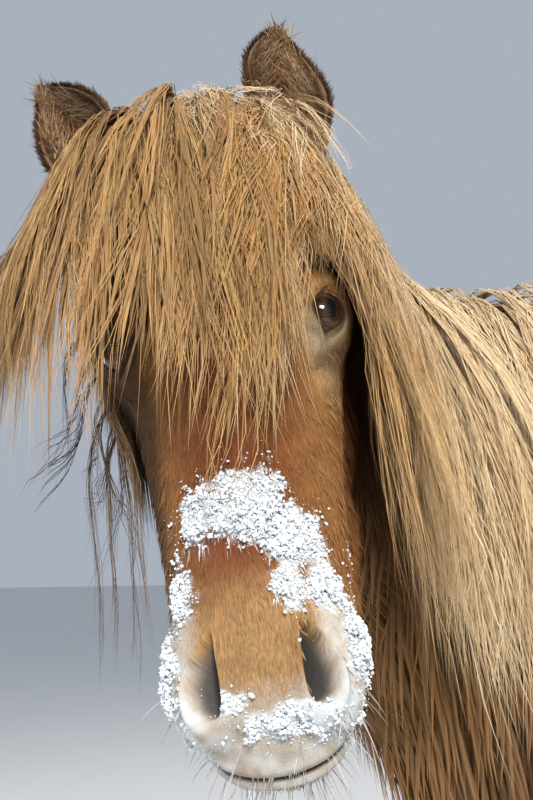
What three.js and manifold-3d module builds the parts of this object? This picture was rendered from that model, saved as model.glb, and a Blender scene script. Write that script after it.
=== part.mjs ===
// A life-size Icelandic horse in winter coat, standing square and turning its head to its left.
// Millimetres, +Z up, the floor at Z 0. The horse faces -Y and its left side is +X.
//
// The body is one implicit surface: a smooth union of tapered rods and ellipsoids, each as large
// as the flesh plus the depth of its winter coat. That surface is turned into triangles, finer on the
// head and feet, and the parts are divided by flat cuts that leave a hair's breadth between them.
// Mane, forelock, tail, beard and fetlock feather are flat, tapered locks that hang over that same surface.
import * as THREE from "three";
import { mergeVertices } from "three/addons/utils/BufferGeometryUtils.js";
import Module from "manifold-3d";

// Driving dimensions
const GAP = 0.3; // between parts that touch
const WITHERS = 1370; // height of the withers under the coat
const FORE_TRACK = 135; // each fore leg from the midline
const HIND_TRACK = 140; // each hind leg from the midline
const HEAD_TURN = 55.5; // degrees, the head turned to the horse's left of straight ahead
const HEAD_NOD = 18.2; // degrees, the face's normal raised above level
const HEAD_TILT = 10.2; // degrees, left ear above right ear
const POLL = [161, -1020, 1450]; // the top of the head, between the ears
const EYE = { at: [90, -29, 204], radius: 21, open: [37, 26] }; // the left eye in the head's own frame
const LID = 3.4; // thickness of the lids
// Each ear: how far its root stands from the head's midline, and how far it leans out
const EAR = { at: { left: 88, right: 91 }, lean: { left: 3, right: 25 }, length: 186, width: 84 };
const MANE_LENGTH = 570;
const FORELOCK_LENGTH = 350;
const TAIL_TIP = 130; // height of the longest tail hair above the floor

const DEG = Math.PI / 180;

// Vectors are plain arrays of three numbers
const add = (a, b, s = 1) => [a[0] + b[0] * s, a[1] + b[1] * s, a[2] + b[2] * s];
const sub = (a, b) => add(a, b, -1);
const dot = (a, b) => a[0] * b[0] + a[1] * b[1] + a[2] * b[2];
const scaled = (a, s) => [a[0] * s, a[1] * s, a[2] * s];
const cross = (a, b) => [
  a[1] * b[2] - a[2] * b[1],
  a[2] * b[0] - a[0] * b[2],
  a[0] * b[1] - a[1] * b[0],
];
const size = (a) => Math.hypot(a[0], a[1], a[2]);
const unit = (a) => scaled(a, 1 / (size(a) || 1));
const mixed = (a, b, t) => add(scaled(a, 1 - t), b, t);
const clamp = (x, low = 0, high = 1) => Math.min(high, Math.max(low, x));

// A seeded draw, so that every build gives the same horse
function seeded(seed) {
  let state = seed >>> 0;
  return (low = 0, high = 1) => {
    state = (Math.imul(state, 1664525) + 1013904223) >>> 0;
    return low + (high - low) * (state / 4294967296);
  };
}

// The head's own frame: u to the horse's left, v out of the face, w from the poll down the nose
const head = (() => {
  const [turn, nod, tilt] = [HEAD_TURN * DEG, HEAD_NOD * DEG, HEAD_TILT * DEG];
  const v = [Math.sin(turn) * Math.cos(nod), -Math.cos(turn) * Math.cos(nod), Math.sin(nod)];
  const level = [Math.cos(turn), Math.sin(turn), 0];
  const upright = cross(level, v);
  const u = unit(add(scaled(level, Math.cos(tilt)), upright, -Math.sin(tilt)));
  const w = cross(u, v);
  return {
    u,
    v,
    w,
    out: (p) => add(add(add(POLL, u, p[0]), v, p[1]), w, p[2]),
    turnOut: (d) => add(add(scaled(u, d[0]), v, d[1]), w, d[2]),
    in: (p) => {
      const d = sub(p, POLL);
      return [dot(d, u), dot(d, v), dot(d, w)];
    },
  };
})();

// Distance to a rod from a to b whose radius runs from ra to rb
function rod(p, a, b, ra, rb) {
  const ba = sub(b, a);
  const pa = sub(p, a);
  const l2 = dot(ba, ba);
  const rr = ra - rb;
  const a2 = l2 - rr * rr;
  const il2 = 1 / l2;
  const y = dot(pa, ba);
  const z = y - l2;
  const q = sub(scaled(pa, l2), scaled(ba, y));
  const x2 = dot(q, q);
  const y2 = y * y * l2;
  const z2 = z * z * l2;
  const k = Math.sign(rr) * rr * rr * x2;
  if (Math.sign(z) * a2 * z2 > k) return Math.sqrt(x2 + z2) * il2 - rb;
  if (Math.sign(y) * a2 * y2 < k) return Math.sqrt(x2 + y2) * il2 - ra;
  return (Math.sqrt(x2 * a2 * il2) + y * rr) * il2 - ra;
}

// Distance, nearly, to an ellipsoid
function egg(p, c, r) {
  const d = sub(p, c);
  const k0 = Math.hypot(d[0] / r[0], d[1] / r[1], d[2] / r[2]);
  const k1 = Math.hypot(d[0] / r[0] ** 2, d[1] / r[1] ** 2, d[2] / r[2] ** 2);
  return k1 < 1e-9 ? -Math.min(...r) : (k0 * (k0 - 1)) / k1;
}

// Two distances joined with a fillet of about k
function blended(a, b, k) {
  const h = Math.max(k - Math.abs(a - b), 0) / k;
  return Math.min(a, b) - h * h * k * 0.25;
}

// Torso, in the body's frame. Pieces with side 1 stand on both sides of the midline.
// Each row: its ends a and b, their radii, fillet, coat depth, and how narrow it is across.
const TORSO = [
  { a: [0, -300, 1010], b: [0, 220, 1005], ra: 280, rb: 282, k: 90, coat: 30, narrow: 0.87 }, // barrel
  // withers
  { a: [0, -425, WITHERS - 112], b: [0, -170, WITHERS - 150], ra: 108, rb: 96, k: 110, coat: 22, narrow: 0.75 },
  { a: [0, 330, 1105], b: [0, 540, 1075], ra: 232, rb: 190, k: 100, coat: 28 }, // croup
  { a: [0, -350, 955], b: [0, -538, 955], ra: 215, rb: 176, k: 80, coat: 38, narrow: 0.93 }, // breast
  { a: [0, -60, 870], b: [0, 130, 880], ra: 190, rb: 175, k: 110, coat: 38, narrow: 1.12 }, // belly
  { a: [0, -560, 985], b: [26, -820, 1120], ra: 135, rb: 74, k: 70, coat: 46 }, // throat and breast hair
  { a: [90, -400, 1190], b: [118, -560, 960], ra: 88, rb: 84, k: 70, coat: 28, side: 1 }, // shoulder
  { a: [112, -385, 930], b: [132, -395, 800], ra: 98, rb: 70, k: 70, coat: 24, side: 1 }, // upper arm
  { a: [115, 480, 1130], b: [125, 585, 960], ra: 148, rb: 116, k: 80, coat: 26, side: 1 }, // rump
  { a: [130, 400, 1020], b: [140, 395, 880], ra: 120, rb: 92, k: 80, coat: 26, side: 1 }, // thigh to stifle
  { a: [95, 590, 1080], b: [110, 612, 900], ra: 108, rb: 82, k: 70, coat: 24, side: 1 }, // buttock
  { a: [0, 590, 1150], b: [0, 770, 1192], ra: 70, rb: 34, k: 60, coat: 12 }, // dock
];

// Legs, given for the left side and mirrored. step moves the foot fore or aft of square.
const HOOF = { sole: [57, 62], top: [46, 50], height: 60, slope: 17, back: 38, heel: 0.86 };
function foreLeg(step) {
  const x = FORE_TRACK;
  const y = -425 + step;
  return [
    { a: [x, -400, 820], b: [x, (y - 400) / 2, 640], ra: 76, rb: 54, k: 60, coat: 18 }, // upper arm
    { a: [x, (y - 400) / 2, 640], b: [x, y, 455], ra: 54, rb: 38, k: 30, coat: 12 }, // forearm
    { a: [x, y - 6, 452], b: [x, y - 4, 420], ra: 42, rb: 38, k: 25, coat: 9 }, // knee
    { a: [x, y - 2, 410], b: [x, y - 6, 215], ra: 27, rb: 25, k: 22, coat: 9 }, // cannon
    { a: [x, y + 20, 400], b: [x, y + 20, 220], ra: 17, rb: 19, k: 16, coat: 9 }, // tendons
    { a: [x, y - 2, 200], b: [x, y + 8, 192], ra: 34, rb: 32, k: 22, coat: 10 }, // fetlock
    { a: [x, y - 2, 190], b: [x, y - 34, 100], ra: 28, rb: 34, k: 22, coat: 9 }, // pastern
    { a: [x, y - 34, 100], b: [x, y - 42, 66], ra: 34, rb: 38, k: 14, coat: 7 }, // coronet
  ];
}
function hindLeg(step) {
  const x = HIND_TRACK;
  const y = 612 + step;
  return [
    { a: [x, 420, 900], b: [x + 4, 500, 700], ra: 104, rb: 66, k: 70, coat: 20 }, // thigh
    { a: [x, 580, 880], b: [x, 590, 700], ra: 80, rb: 42, k: 60, coat: 18 }, // hamstrings
    { a: [x + 4, 500, 700], b: [x, y - 10, 545], ra: 66, rb: 38, k: 40, coat: 14 }, // gaskin
    { a: [x, 592, 700], b: [x, y + 42, 560], ra: 34, rb: 24, k: 30, coat: 10 }, // heel tendon
    { a: [x, y - 8, 545], b: [x, y + 2, 485], ra: 42, rb: 37, k: 26, coat: 9 }, // hock
    { a: [x, y + 40, 558], b: [x, y + 22, 480], ra: 22, rb: 22, k: 22, coat: 9 }, // point of the hock
    { a: [x, y, 480], b: [x, y - 8, 225], ra: 31, rb: 27, k: 22, coat: 9 }, // cannon
    { a: [x, y + 22, 470], b: [x, y + 18, 230], ra: 18, rb: 19, k: 16, coat: 9 }, // tendons
    { a: [x, y - 8, 205], b: [x, y + 2, 196], ra: 35, rb: 33, k: 22, coat: 10 }, // fetlock
    { a: [x, y - 8, 192], b: [x, y - 38, 100], ra: 29, rb: 35, k: 22, coat: 9 }, // pastern
    { a: [x, y - 38, 100], b: [x, y - 46, 66], ra: 35, rb: 38, k: 14, coat: 7 }, // coronet
  ];
}
function leg(rods, side, from, to) {
  const last = rods[rods.length - 1].b;
  return { rods, side, from, to, coronet: [last[0] * side, last[1], HOOF.height] };
}
const LEGS = {
  front_left: leg(foreLeg(-25), 1, -760, -235),
  front_right: leg(foreLeg(12), -1, -760, -235),
  hind_left: leg(hindLeg(30), 1, 368, 900),
  hind_right: leg(hindLeg(-30), -1, 368, 900),
};

// The neck's centre line from the shoulders to the back of the skull, with its half depth there
const NECK = [
  { at: [0, -440, 1122], half: 224, narrow: 0.6 },
  { at: [-12, -620, 1140], half: 184, narrow: 0.58 },
  { at: [0, -770, 1184], half: 148, narrow: 0.6 },
  { at: [34, -890, 1252], half: 127, narrow: 0.64 },
  { at: [84, -972, 1318], half: 118, narrow: 0.64 },
];
const NECK_COAT = 32;
const neckRods = NECK.slice(1).map((to, i) => {
  const from = NECK[i];
  return { from, to, across: unit(cross(sub(to.at, from.at), [0, 0, 1])) };
});

// Head, in its own frame. Pieces with side 1 stand on both sides of the midline.
const HEAD = [
  { c: [0, -74, 74], r: [74, 70, 84], k: 40, coat: 12 }, // braincase
  { c: [0, -56, 132], r: [88, 58, 108], k: 40, coat: 10 }, // forehead
  { a: [0, -48, 190], b: [0, -38, 440], ra: 48, rb: 31, k: 34, coat: 6 }, // bridge of the nose
  { a: [48, -84, 215], b: [32, -64, 430], ra: 42, rb: 34, k: 34, coat: 9, side: 1 }, // upper jaw
  { c: [54, -150, 172], r: [40, 92, 104], k: 36, coat: 20, side: 1 }, // jowl
  { a: [50, -175, 225], b: [34, -116, 425], ra: 40, rb: 32, k: 34, coat: 22, side: 1 }, // lower jaw
  { c: [80, -42, 198], r: [31, 36, 46], k: 26, coat: 4, side: 1 }, // rim of the eye socket
  { a: [76, -74, 225], b: [56, -74, 318], ra: 11, rb: 8, k: 22, coat: 6, side: 1 }, // facial crest
  { c: [0, -54, 474], r: [54, 44, 66], k: 30, coat: 4 }, // muzzle
  { c: [42, -38, 488], r: [26, 28, 44], k: 18, coat: 3, side: 1 }, // wing of the nostril
  { c: [0, -66, 530], r: [46, 28, 28], k: 18, coat: 3 }, // upper lip
  { c: [0, -108, 518], r: [36, 26, 36], k: 18, coat: 6 }, // chin and lower lip
];
const NOSTRIL = { c: [44, -10, 489], r: [10, 20, 31], lean: 20 };
const MOUTH = { c: [0, -97, 500], r: [60, 3.2, 66], slope: 17 };

function headField(p, coat) {
  const q = head.in(p);
  const far = egg(q, [0, -100, 260], [150, 190, 330]);
  if (far > 120) return far;
  const m = [Math.abs(q[0]), q[1], q[2]];
  let d = Infinity;
  for (const s of HEAD) {
    const at = s.side ? m : q;
    const grow = coat * s.coat;
    const one = s.c ? egg(at, s.c, s.r) - grow : rod(at, s.a, s.b, s.ra, s.rb) - grow;
    d = d === Infinity ? one : blended(d, one, s.k);
  }
  return d;
}

function rodField(p, list, side, coat, start) {
  let d = start;
  const m = [side === 0 ? Math.abs(p[0]) : p[0] * side, p[1], p[2]];
  for (const s of list) {
    const at = s.side || side !== 0 ? m : p;
    const n = s.narrow || 1;
    const squeezed = ([x, y, z]) => [x / n, y, z];
    const one = rod(squeezed(at), squeezed(s.a), squeezed(s.b), s.ra, s.rb) * Math.min(1, n);
    d = blended(d, one - coat * s.coat, s.k);
  }
  return d;
}

function neckField(p, coat, start) {
  let d = start;
  for (const { from, to, across } of neckRods) {
    const n = (from.narrow + to.narrow) / 2;
    const squeeze = (q) => add(q, across, dot(sub(q, from.at), across) * (1 / n - 1));
    const one = rod(squeeze(p), from.at, squeeze(to.at), from.half, to.half) * 0.82 - coat * NECK_COAT;
    d = blended(d, one, 60);
  }
  return d;
}

// The whole animal. coat 1 gives the outside of its coat, and coat 0 its skin.
// A part of the body is left out where it is too far off to matter.
const FAR_AHEAD = -1015;
const ABOVE_LEGS = 1095;
const BEHIND_NECK = -115;
function horse(p, coat = 1) {
  let d = 1e3;
  if (p[1] > FAR_AHEAD) d = rodField(p, TORSO, 0, coat, d);
  if (p[1] > FAR_AHEAD && p[2] < ABOVE_LEGS) {
    for (const one of Object.values(LEGS)) {
      const near = Math.sign(p[0]) === one.side || Math.abs(p[0]) < 40;
      if (near) d = rodField(p, one.rods, one.side, coat, d);
    }
  }
  if (p[1] < BEHIND_NECK) d = neckField(p, coat, d);
  return blended(d, headField(p, coat), 46);
}

function normalAt(p, field) {
  const h = 1.5;
  return unit([0, 1, 2].map((i) => {
    const e = [0, 0, 0];
    e[i] = h;
    return field(add(p, e)) - field(sub(p, e));
  }));
}

// Triangles of a field's zero surface inside a box, by marching through six tetrahedra in each cube
function surfaceOf(field, low, high, cell) {
  const n = low.map((x, i) => Math.ceil((high[i] - x) / cell) + 1);
  const index = (x, y, z) => x + n[0] * (y + n[1] * z);
  const value = new Float64Array(n[0] * n[1] * n[2]);
  const at = (x, y, z) => [low[0] + x * cell, low[1] + y * cell, low[2] + z * cell];
  const blockCells = 4;
  const reach = blockCells * cell * 1.5;
  for (let bz = 0; bz < n[2]; bz += blockCells)
    for (let by = 0; by < n[1]; by += blockCells)
      for (let bx = 0; bx < n[0]; bx += blockCells) {
        const half = (blockCells - 1) / 2;
        const middle = field(at(bx + half, by + half, bz + half));
        for (let z = bz; z < Math.min(bz + blockCells, n[2]); z++)
          for (let y = by; y < Math.min(by + blockCells, n[1]); y++)
            for (let x = bx; x < Math.min(bx + blockCells, n[0]); x++) {
              const edge = x === 0 || y === 0 || z === 0 || x === n[0] - 1 || y === n[1] - 1 || z === n[2] - 1;
              const d = Math.abs(middle) > reach ? middle : field(at(x, y, z));
              const kept = Math.abs(d) < cell * 0.02 ? cell * 0.02 : d;
              value[index(x, y, z)] = edge ? Math.max(kept, cell * 0.2) : kept;
            }
      }
  const positions = [];
  const triangles = [];
  const made = new Map();
  const place = (i) => [i % n[0], Math.floor(i / n[0]) % n[1], Math.floor(i / (n[0] * n[1]))];
  const crossing = (i, j) => {
    const key = Math.min(i, j) * value.length + Math.max(i, j);
    if (!made.has(key)) {
      const t = value[i] / (value[i] - value[j]);
      const at = mixed(place(i), place(j), clamp(t, 0.02, 0.98));
      made.set(key, positions.length);
      positions.push([0, 1, 2].map((k) => low[k] + at[k] * cell));
    }
    return made.get(key);
  };
  const face = (a, b, c, outward) => {
    const [p, q, r] = [a, b, c].map((i) => positions[i]);
    const facing = dot(cross(sub(q, p), sub(r, p)), outward);
    triangles.push(facing > 0 ? [a, b, c] : [a, c, b]);
  };
  const steps = [[1, 3], [1, 5], [2, 3], [2, 6], [4, 5], [4, 6]];
  for (let z = 0; z < n[2] - 1; z++)
    for (let y = 0; y < n[1] - 1; y++)
      for (let x = 0; x < n[0] - 1; x++) {
        const corner = (bits) => index(x + (bits & 1), y + ((bits >> 1) & 1), z + ((bits >> 2) & 1));
        const inside = [0, 1, 2, 3, 4, 5, 6, 7].filter((b) => value[corner(b)] < 0).length;
        if (inside === 0 || inside === 8) continue;
        for (const [one, two] of steps) {
          const four = [0, one, two, 7].map(corner);
          const ins = four.filter((i) => value[i] < 0);
          const outs = four.filter((i) => value[i] >= 0);
          if (!ins.length || !outs.length) continue;
          const centre = (list) => scaled(list.map(place).reduce((s, q) => add(s, q)), 1 / list.length);
          const outward = sub(centre(outs), centre(ins));
          if (ins.length === 1) face(...outs.map((o) => crossing(ins[0], o)), outward);
          else if (outs.length === 1) face(...ins.map((i) => crossing(i, outs[0])), outward);
          else {
            const [a, b, c, d] = [
              crossing(ins[0], outs[0]),
              crossing(ins[0], outs[1]),
              crossing(ins[1], outs[1]),
              crossing(ins[1], outs[0]),
            ];
            face(a, b, c, outward);
            face(a, c, d, outward);
          }
        }
      }
  return { positions, triangles };
}

// A closed mesh with its flattest edges collapsed until at most `most` triangles are left.
// The cost of a collapse is the squared distance to the planes of the faces that it replaces.
function thinned({ positions, triangles }, most) {
  const faces = triangles.map((t) => [...t]);
  const alive = faces.map(() => true);
  const ring = positions.map(() => new Set());
  faces.forEach((t, f) => t.forEach((v) => ring[v].add(f)));
  const normalOf = (t, moved = -1, to = null) => {
    const [a, b, c] = t.map((v) => (v === moved ? to : positions[v]));
    return cross(sub(b, a), sub(c, a));
  };
  const quadric = positions.map(() => new Float64Array(10));
  faces.forEach((t) => {
    const raw = normalOf(t);
    const n = unit(raw);
    const weight = size(raw);
    const d = -dot(n, positions[t[0]]);
    const four = [...n, d];
    const q = four.flatMap((x, i) => four.slice(i).map((y) => x * y));
    t.forEach((v) => q.forEach((x, i) => (quadric[v][i] += x * weight)));
  });
  const cost = (q, [x, y, z]) =>
    q[0] * x * x + 2 * q[1] * x * y + 2 * q[2] * x * z + 2 * q[3] * x + q[4] * y * y +
    2 * q[5] * y * z + 2 * q[6] * y + q[7] * z * z + 2 * q[8] * z + q[9];
  const best = (a, b) => {
    const q = quadric[a].map((x, i) => x + quadric[b][i]);
    const [m, r] = [[[q[0], q[1], q[2]], [q[1], q[4], q[5]], [q[2], q[5], q[7]]], [-q[3], -q[6], -q[8]]];
    const det = dot(m[0], cross(m[1], m[2]));
    const middle = mixed(positions[a], positions[b], 0.5);
    const places = [positions[a], positions[b], middle];
    if (Math.abs(det) > 1e-9 * (q[0] + q[4] + q[7]) ** 3) {
      const solved = scaled(
        add(add(scaled(cross(m[1], m[2]), r[0]), cross(m[2], m[0]), r[1]), cross(m[0], m[1]), r[2]),
        1 / det,
      );
      if (size(sub(solved, middle)) < 1.5 * size(sub(positions[a], positions[b]))) places.push(solved);
    }
    const length = size(sub(positions[a], positions[b]));
    const priced = places.map((p) => ({ p, c: cost(q, p) + 1e-3 * length ** 4 }));
    return priced.reduce((x, y) => (y.c < x.c ? y : x));
  };
  const stamp = positions.map(() => 0);
  const heap = [];
  const less = (i, j) => heap[i].c < heap[j].c;
  const swap = (i, j) => ([heap[i], heap[j]] = [heap[j], heap[i]]);
  const push = (item) => {
    let i = heap.push(item) - 1;
    while (i > 0 && less(i, (i - 1) >> 1)) {
      swap(i, (i - 1) >> 1);
      i = (i - 1) >> 1;
    }
  };
  const pop = () => {
    const top = heap[0];
    const last = heap.pop();
    if (heap.length) {
      heap[0] = last;
      for (let i = 0; ; ) {
        const kids = [2 * i + 1, 2 * i + 2].filter((k) => k < heap.length);
        const low = kids.reduce((x, y) => (less(y, x) ? y : x), i);
        if (low === i) break;
        swap(i, low);
        i = low;
      }
    }
    return top;
  };
  const around = (v) => new Set([...ring[v]].flatMap((f) => faces[f]).filter((x) => x !== v));
  const price = (a, b) => {
    const { p, c } = best(a, b);
    push({ c, a, b, p, sa: stamp[a], sb: stamp[b] });
  };
  positions.forEach((_, v) => around(v).forEach((x) => x > v && price(v, x)));
  let left = faces.length;
  while (left > most && heap.length) {
    const { a, b, p, sa, sb } = pop();
    if (stamp[a] !== sa || stamp[b] !== sb) continue;
    const near = around(b);
    const shared = [...around(a)].filter((x) => near.has(x));
    if (shared.length !== 2) continue;
    const both = [...ring[a]].filter((f) => ring[b].has(f));
    const turned = [a, b].some((v) =>
      [...ring[v]].some((f) => {
        if (both.includes(f)) return false;
        const [before, after] = [normalOf(faces[f]), normalOf(faces[f], v, p)];
        return dot(before, after) < 0.3 * size(before) * size(after) || size(after) < 1e-3;
      }),
    );
    if (turned) continue;
    both.forEach((f) => {
      alive[f] = false;
      faces[f].forEach((v) => ring[v].delete(f));
    });
    ring[b].forEach((f) => {
      faces[f] = faces[f].map((v) => (v === b ? a : v));
      ring[a].add(f);
    });
    ring[b].clear();
    positions[a] = p;
    quadric[b].forEach((x, i) => (quadric[a][i] += x));
    stamp[b] = -1;
    stamp[a]++;
    left -= 2;
    around(a).forEach((x) => price(a, x));
  }
  const used = new Map();
  const renamed = faces.filter((_, f) => alive[f]).map((t) => t.map((v) => {
    if (!used.has(v)) used.set(v, used.size);
    return used.get(v);
  }));
  return { positions: [...used.keys()].map((v) => positions[v]), triangles: renamed };
}

// Solids
const wasm = await Module();
wasm.setup();

function solidOf(geometry) {
  const bare = geometry.clone();
  bare.deleteAttribute("normal");
  bare.deleteAttribute("uv");
  const merged = mergeVertices(bare, 1e-4);
  return new wasm.Manifold(
    new wasm.Mesh({
      numProp: 3,
      vertProperties: new Float32Array(merged.attributes.position.array),
      triVerts: new Uint32Array(merged.index.array),
    }),
  );
}

function geometryOf({ positions, triangles }) {
  return new THREE.BufferGeometry()
    .setAttribute("position", new THREE.BufferAttribute(new Float32Array(positions.flat()), 3))
    .setIndex(triangles.flat());
}

// The flesh and coat inside a box, with about `most` triangles
function flesh(low, high, cell, most, field = (p) => horse(p)) {
  return solidOf(geometryOf(thinned(surfaceOf(field, low, high, cell), most)));
}

// A block whose one face is the plane through `at` square to `normal`, and which reaches away along it
function block(at, normal, reach = 1400, width = 3000, lift = 0) {
  const turn = new THREE.Quaternion().setFromUnitVectors(
    new THREE.Vector3(0, 0, 1),
    new THREE.Vector3(...unit(normal)),
  );
  const shape = new THREE.BoxGeometry(width, width, reach);
  shape.translate(0, 0, reach / 2 + lift).applyQuaternion(turn).translate(...at);
  return solidOf(shape);
}

function largest(solid) {
  return solid.decompose().reduce((a, b) => (b.volume() > a.volume() ? b : a));
}

// Solids added up pair by pair
function joined(solids) {
  let row = solids;
  while (row.length > 1) {
    const pairs = Array.from({ length: Math.ceil(row.length / 2) }, (_, i) => row.slice(2 * i, 2 * i + 2));
    row = pairs.map(([one, two]) => (two ? one.add(two) : one));
  }
  return row[0];
}

// Locks
// A flat, tapered lock along a path. Each of its sections is a lozenge, `wide` across and `thick` deep.
function lock({ path, out }, wide, thick) {
  const rings = path.slice(0, -1);
  const positions = [];
  const triangles = [];
  rings.forEach((p, i) => {
    const along = unit(sub(path[i + 1], i ? path[i - 1] : p));
    const flat = unit(cross(along, out[i]));
    const up = unit(cross(flat, along));
    const t = i / rings.length;
    const w = (wide / 2) * (i === 0 ? 0.3 : Math.min(0.72 + 1.2 * t, 1) - 0.6 * t ** 1.8);
    const h = (thick / 2) * (1 - 0.5 * t);
    positions.push(add(p, flat, w), add(p, up, h), add(p, flat, -w), add(p, up, -h));
  });
  const tip = positions.push(path[path.length - 1]) - 1;
  for (let i = 0; i < rings.length - 1; i++)
    for (let j = 0; j < 4; j++) {
      const [a, b] = [i * 4 + j, i * 4 + ((j + 1) % 4)];
      triangles.push([a, b, b + 4], [a, b + 4, a + 4]);
    }
  const last = (rings.length - 1) * 4;
  for (let j = 0; j < 4; j++) triangles.push([last + j, last + ((j + 1) % 4), tip]);
  triangles.push([0, 3, 2], [0, 2, 1]);
  return outwards({ positions, triangles });
}

// A solid from triangles that may all face inwards
function outwards({ positions, triangles }) {
  const made = solidOf(geometryOf({ positions, triangles }));
  if (made.volume() > 0) return made;
  return solidOf(geometryOf({ positions, triangles: triangles.map(([a, b, c]) => [a, c, b]) }));
}

// The path of a lock that leaves `root` along `start` and is pulled along `pull(p, t)`.
// It never comes closer than `lift` to the coat once it is clear of its root.
function draped({ root, start, length, lift, pull, steps, field = horse, turn = 0.16 }) {
  const fine = 6;
  const total = steps * fine;
  const stride = length / total;
  let p = root;
  let way = unit(start);
  const path = [root];
  const out = [normalAt(root, field)];
  for (let i = 1; i <= total; i++) {
    const t = i / total;
    way = unit(add(way, pull(p, t), turn));
    p = add(p, way, stride);
    const n = normalAt(p, field);
    const want = Math.min(lift, lift * (t * 5 - 0.35));
    const short = want - field(p);
    if (short > 0 && t > 0.08) {
      p = add(p, n, Math.min(short, stride * 0.9));
      way = unit(sub(way, scaled(n, Math.min(0, dot(way, n)))));
    }
    if (i % fine === 0) {
      path.push(p);
      out.push(n);
    }
  }
  return { path, out };
}

// Those of a row of locks that stay clear of the solids named, each a little wider and thicker than drawn
function clearLocks(rows, keepOff, margin = 1.6) {
  return rows
    .filter(({ drape, wide, thick }) => {
      const fat = lock(drape, wide + margin, thick + margin);
      return keepOff.every((solid) => fat.intersect(solid).volume() < 1e-3);
    })
    .map(({ drape, wide, thick }) => lock(drape, wide, thick));
}

const DOWN = [0, 0, -1];

// Where the coat is met by a line from `inside` towards `way`
function surfacePoint(inside, way, depth = 0, field = horse) {
  let [near, far] = [0, 420];
  for (let i = 0; i < 24; i++) {
    const middle = (near + far) / 2;
    if (field(add(inside, way, middle)) < -depth) near = middle;
    else far = middle;
  }
  return add(inside, way, near);
}

// A point of the neck's centre line; t runs from 0 at the shoulders to 1 behind the skull
function neckAt(t) {
  const s = clamp(t) * (NECK.length - 1);
  const i = Math.min(NECK.length - 2, Math.floor(s));
  return mixed(NECK[i].at, NECK[i + 1].at, s - i);
}

// Mane: layers of locks from the crest that fall on the left side of the neck
const MANE = { layers: 3, perLayer: 13, from: 0.1, to: 0.99, wide: 42, thick: 9, lift: 8, step: 9 };
function maneLocks(keepOff) {
  const draw = seeded(11);
  const rows = [];
  for (let layer = 0; layer < MANE.layers; layer++)
    for (let i = 0; i < MANE.perLayer; i++) {
      const along = (i + 0.5 * (layer % 2) + draw(0.3, 0.7)) / (MANE.perLayer + 0.5);
      const t = MANE.from + (MANE.to - MANE.from) * along;
      const centre = neckAt(t);
      const root = surfacePoint(centre, unit([0.16 - 0.2 * layer, 0, 1]), 16);
      const length = MANE_LENGTH * (0.78 + 0.22 * Math.sin(Math.PI * along)) * draw(0.82, 1.1);
      const [sway, phase] = [draw(0.1, 0.28), draw(0, 6.3)];
      const pull = (p, s) => {
        const wave = sway * Math.sin(phase + s * 7);
        return unit([0.22 * (1 - s), 0.16 - 0.1 * along + wave, -1]);
      };
      const drape = draped({
        root,
        start: [0.9, 0.1, 0.16],
        length,
        lift: MANE.lift + MANE.step * layer + draw(0, 3),
        pull,
        steps: 5,
      });
      rows.push({ drape, wide: MANE.wide * draw(0.8, 1.1), thick: MANE.thick });
    }
  return clearLocks(rows, keepOff);
}

// Forelock: layers of locks from between the ears that fan out over the forehead and both temples
const FORELOCK = {
  layers: 3,
  perLayer: 8,
  wide: 45,
  thick: 8,
  lift: 8,
  step: 12,
  right: 1, // how far the locks fan out to each side
  left: 0.4,
  eyeRoom: 46, // the left eye is kept clear of hair by this much
};
function forelockLocks(keepOff) {
  const draw = seeded(5);
  const rows = [];
  for (let layer = 0; layer < FORELOCK.layers; layer++)
    for (let i = 0; i < FORELOCK.perLayer; i++) {
      const across = (i + 0.5 * (layer % 2) + draw(0.2, 0.8)) / (FORELOCK.perLayer + 0.5);
      const fan = across * (FORELOCK.left + FORELOCK.right) - FORELOCK.right;
      const inside = head.out([fan * 46, -70, 30]);
      const root = surfacePoint(inside, head.turnOut(unit([fan * 0.55, 0.46 - 0.22 * layer, -1])), 22);
      const side = Math.abs(fan);
      const length = FORELOCK_LENGTH * (1.05 - 0.2 * side) * draw(0.84, 1.08);
      const [sway, phase] = [draw(0.05, 0.2), draw(0, 6.3)];
      const pull = (p, s) => {
        const fall = unit(add(head.turnOut([0, 0.1, 1]), DOWN));
        const spread = fan * 0.95 * (1 - s) ** 2 + sway * Math.sin(phase + s * 6);
        return unit(add(fall, head.turnOut([spread, 0, 0])));
      };
      const drape = draped({
        root,
        start: head.turnOut([fan * 1.1, 1, 0.3]),
        length,
        lift: FORELOCK.lift + FORELOCK.step * layer * (1 + (fan < 0 ? 0.9 : 0) * side ** 2) + draw(0, 2),
        pull,
        steps: 5,
      });
      rows.push({ drape, wide: FORELOCK.wide * draw(0.8, 1.1), thick: FORELOCK.thick });
    }
  const eye = head.out([EYE.at[0] + 10, EYE.at[1] + 26, EYE.at[2] + 6]);
  const open = rows.filter(({ drape }) => drape.path.every((p) => size(sub(p, eye)) > FORELOCK.eyeRoom));
  return clearLocks(open, keepOff);
}

// Hair that hangs from the jaw and chin
const BEARD = { count: 10, length: 62, wide: 26, thick: 7 };
function beardLocks(keepOff) {
  const draw = seeded(23);
  const rows = [];
  for (let i = 0; i < BEARD.count; i++) {
    const along = (i + draw(0.2, 0.8)) / BEARD.count;
    const side = i % 2 ? 1 : -1;
    const inside = head.out([side * (18 + 22 * (1 - along)), -120, 200 + 290 * along]);
    const way = head.turnOut(unit([side * draw(0.1, 0.5), -1, 0]));
    const root = surfacePoint(inside, way, 11);
    const drape = draped({
      root,
      start: head.turnOut([side * 0.3, -1, 0.6]),
      length: BEARD.length * draw(0.8, 1.2) * (1 - 0.4 * along),
      lift: 4,
      pull: () => head.turnOut(unit([0, -0.35, 1])),
      steps: 3,
      turn: 0.2,
    });
    rows.push({ drape, wide: BEARD.wide * draw(0.8, 1.1), thick: BEARD.thick });
  }
  return clearLocks(rows, keepOff);
}

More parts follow.
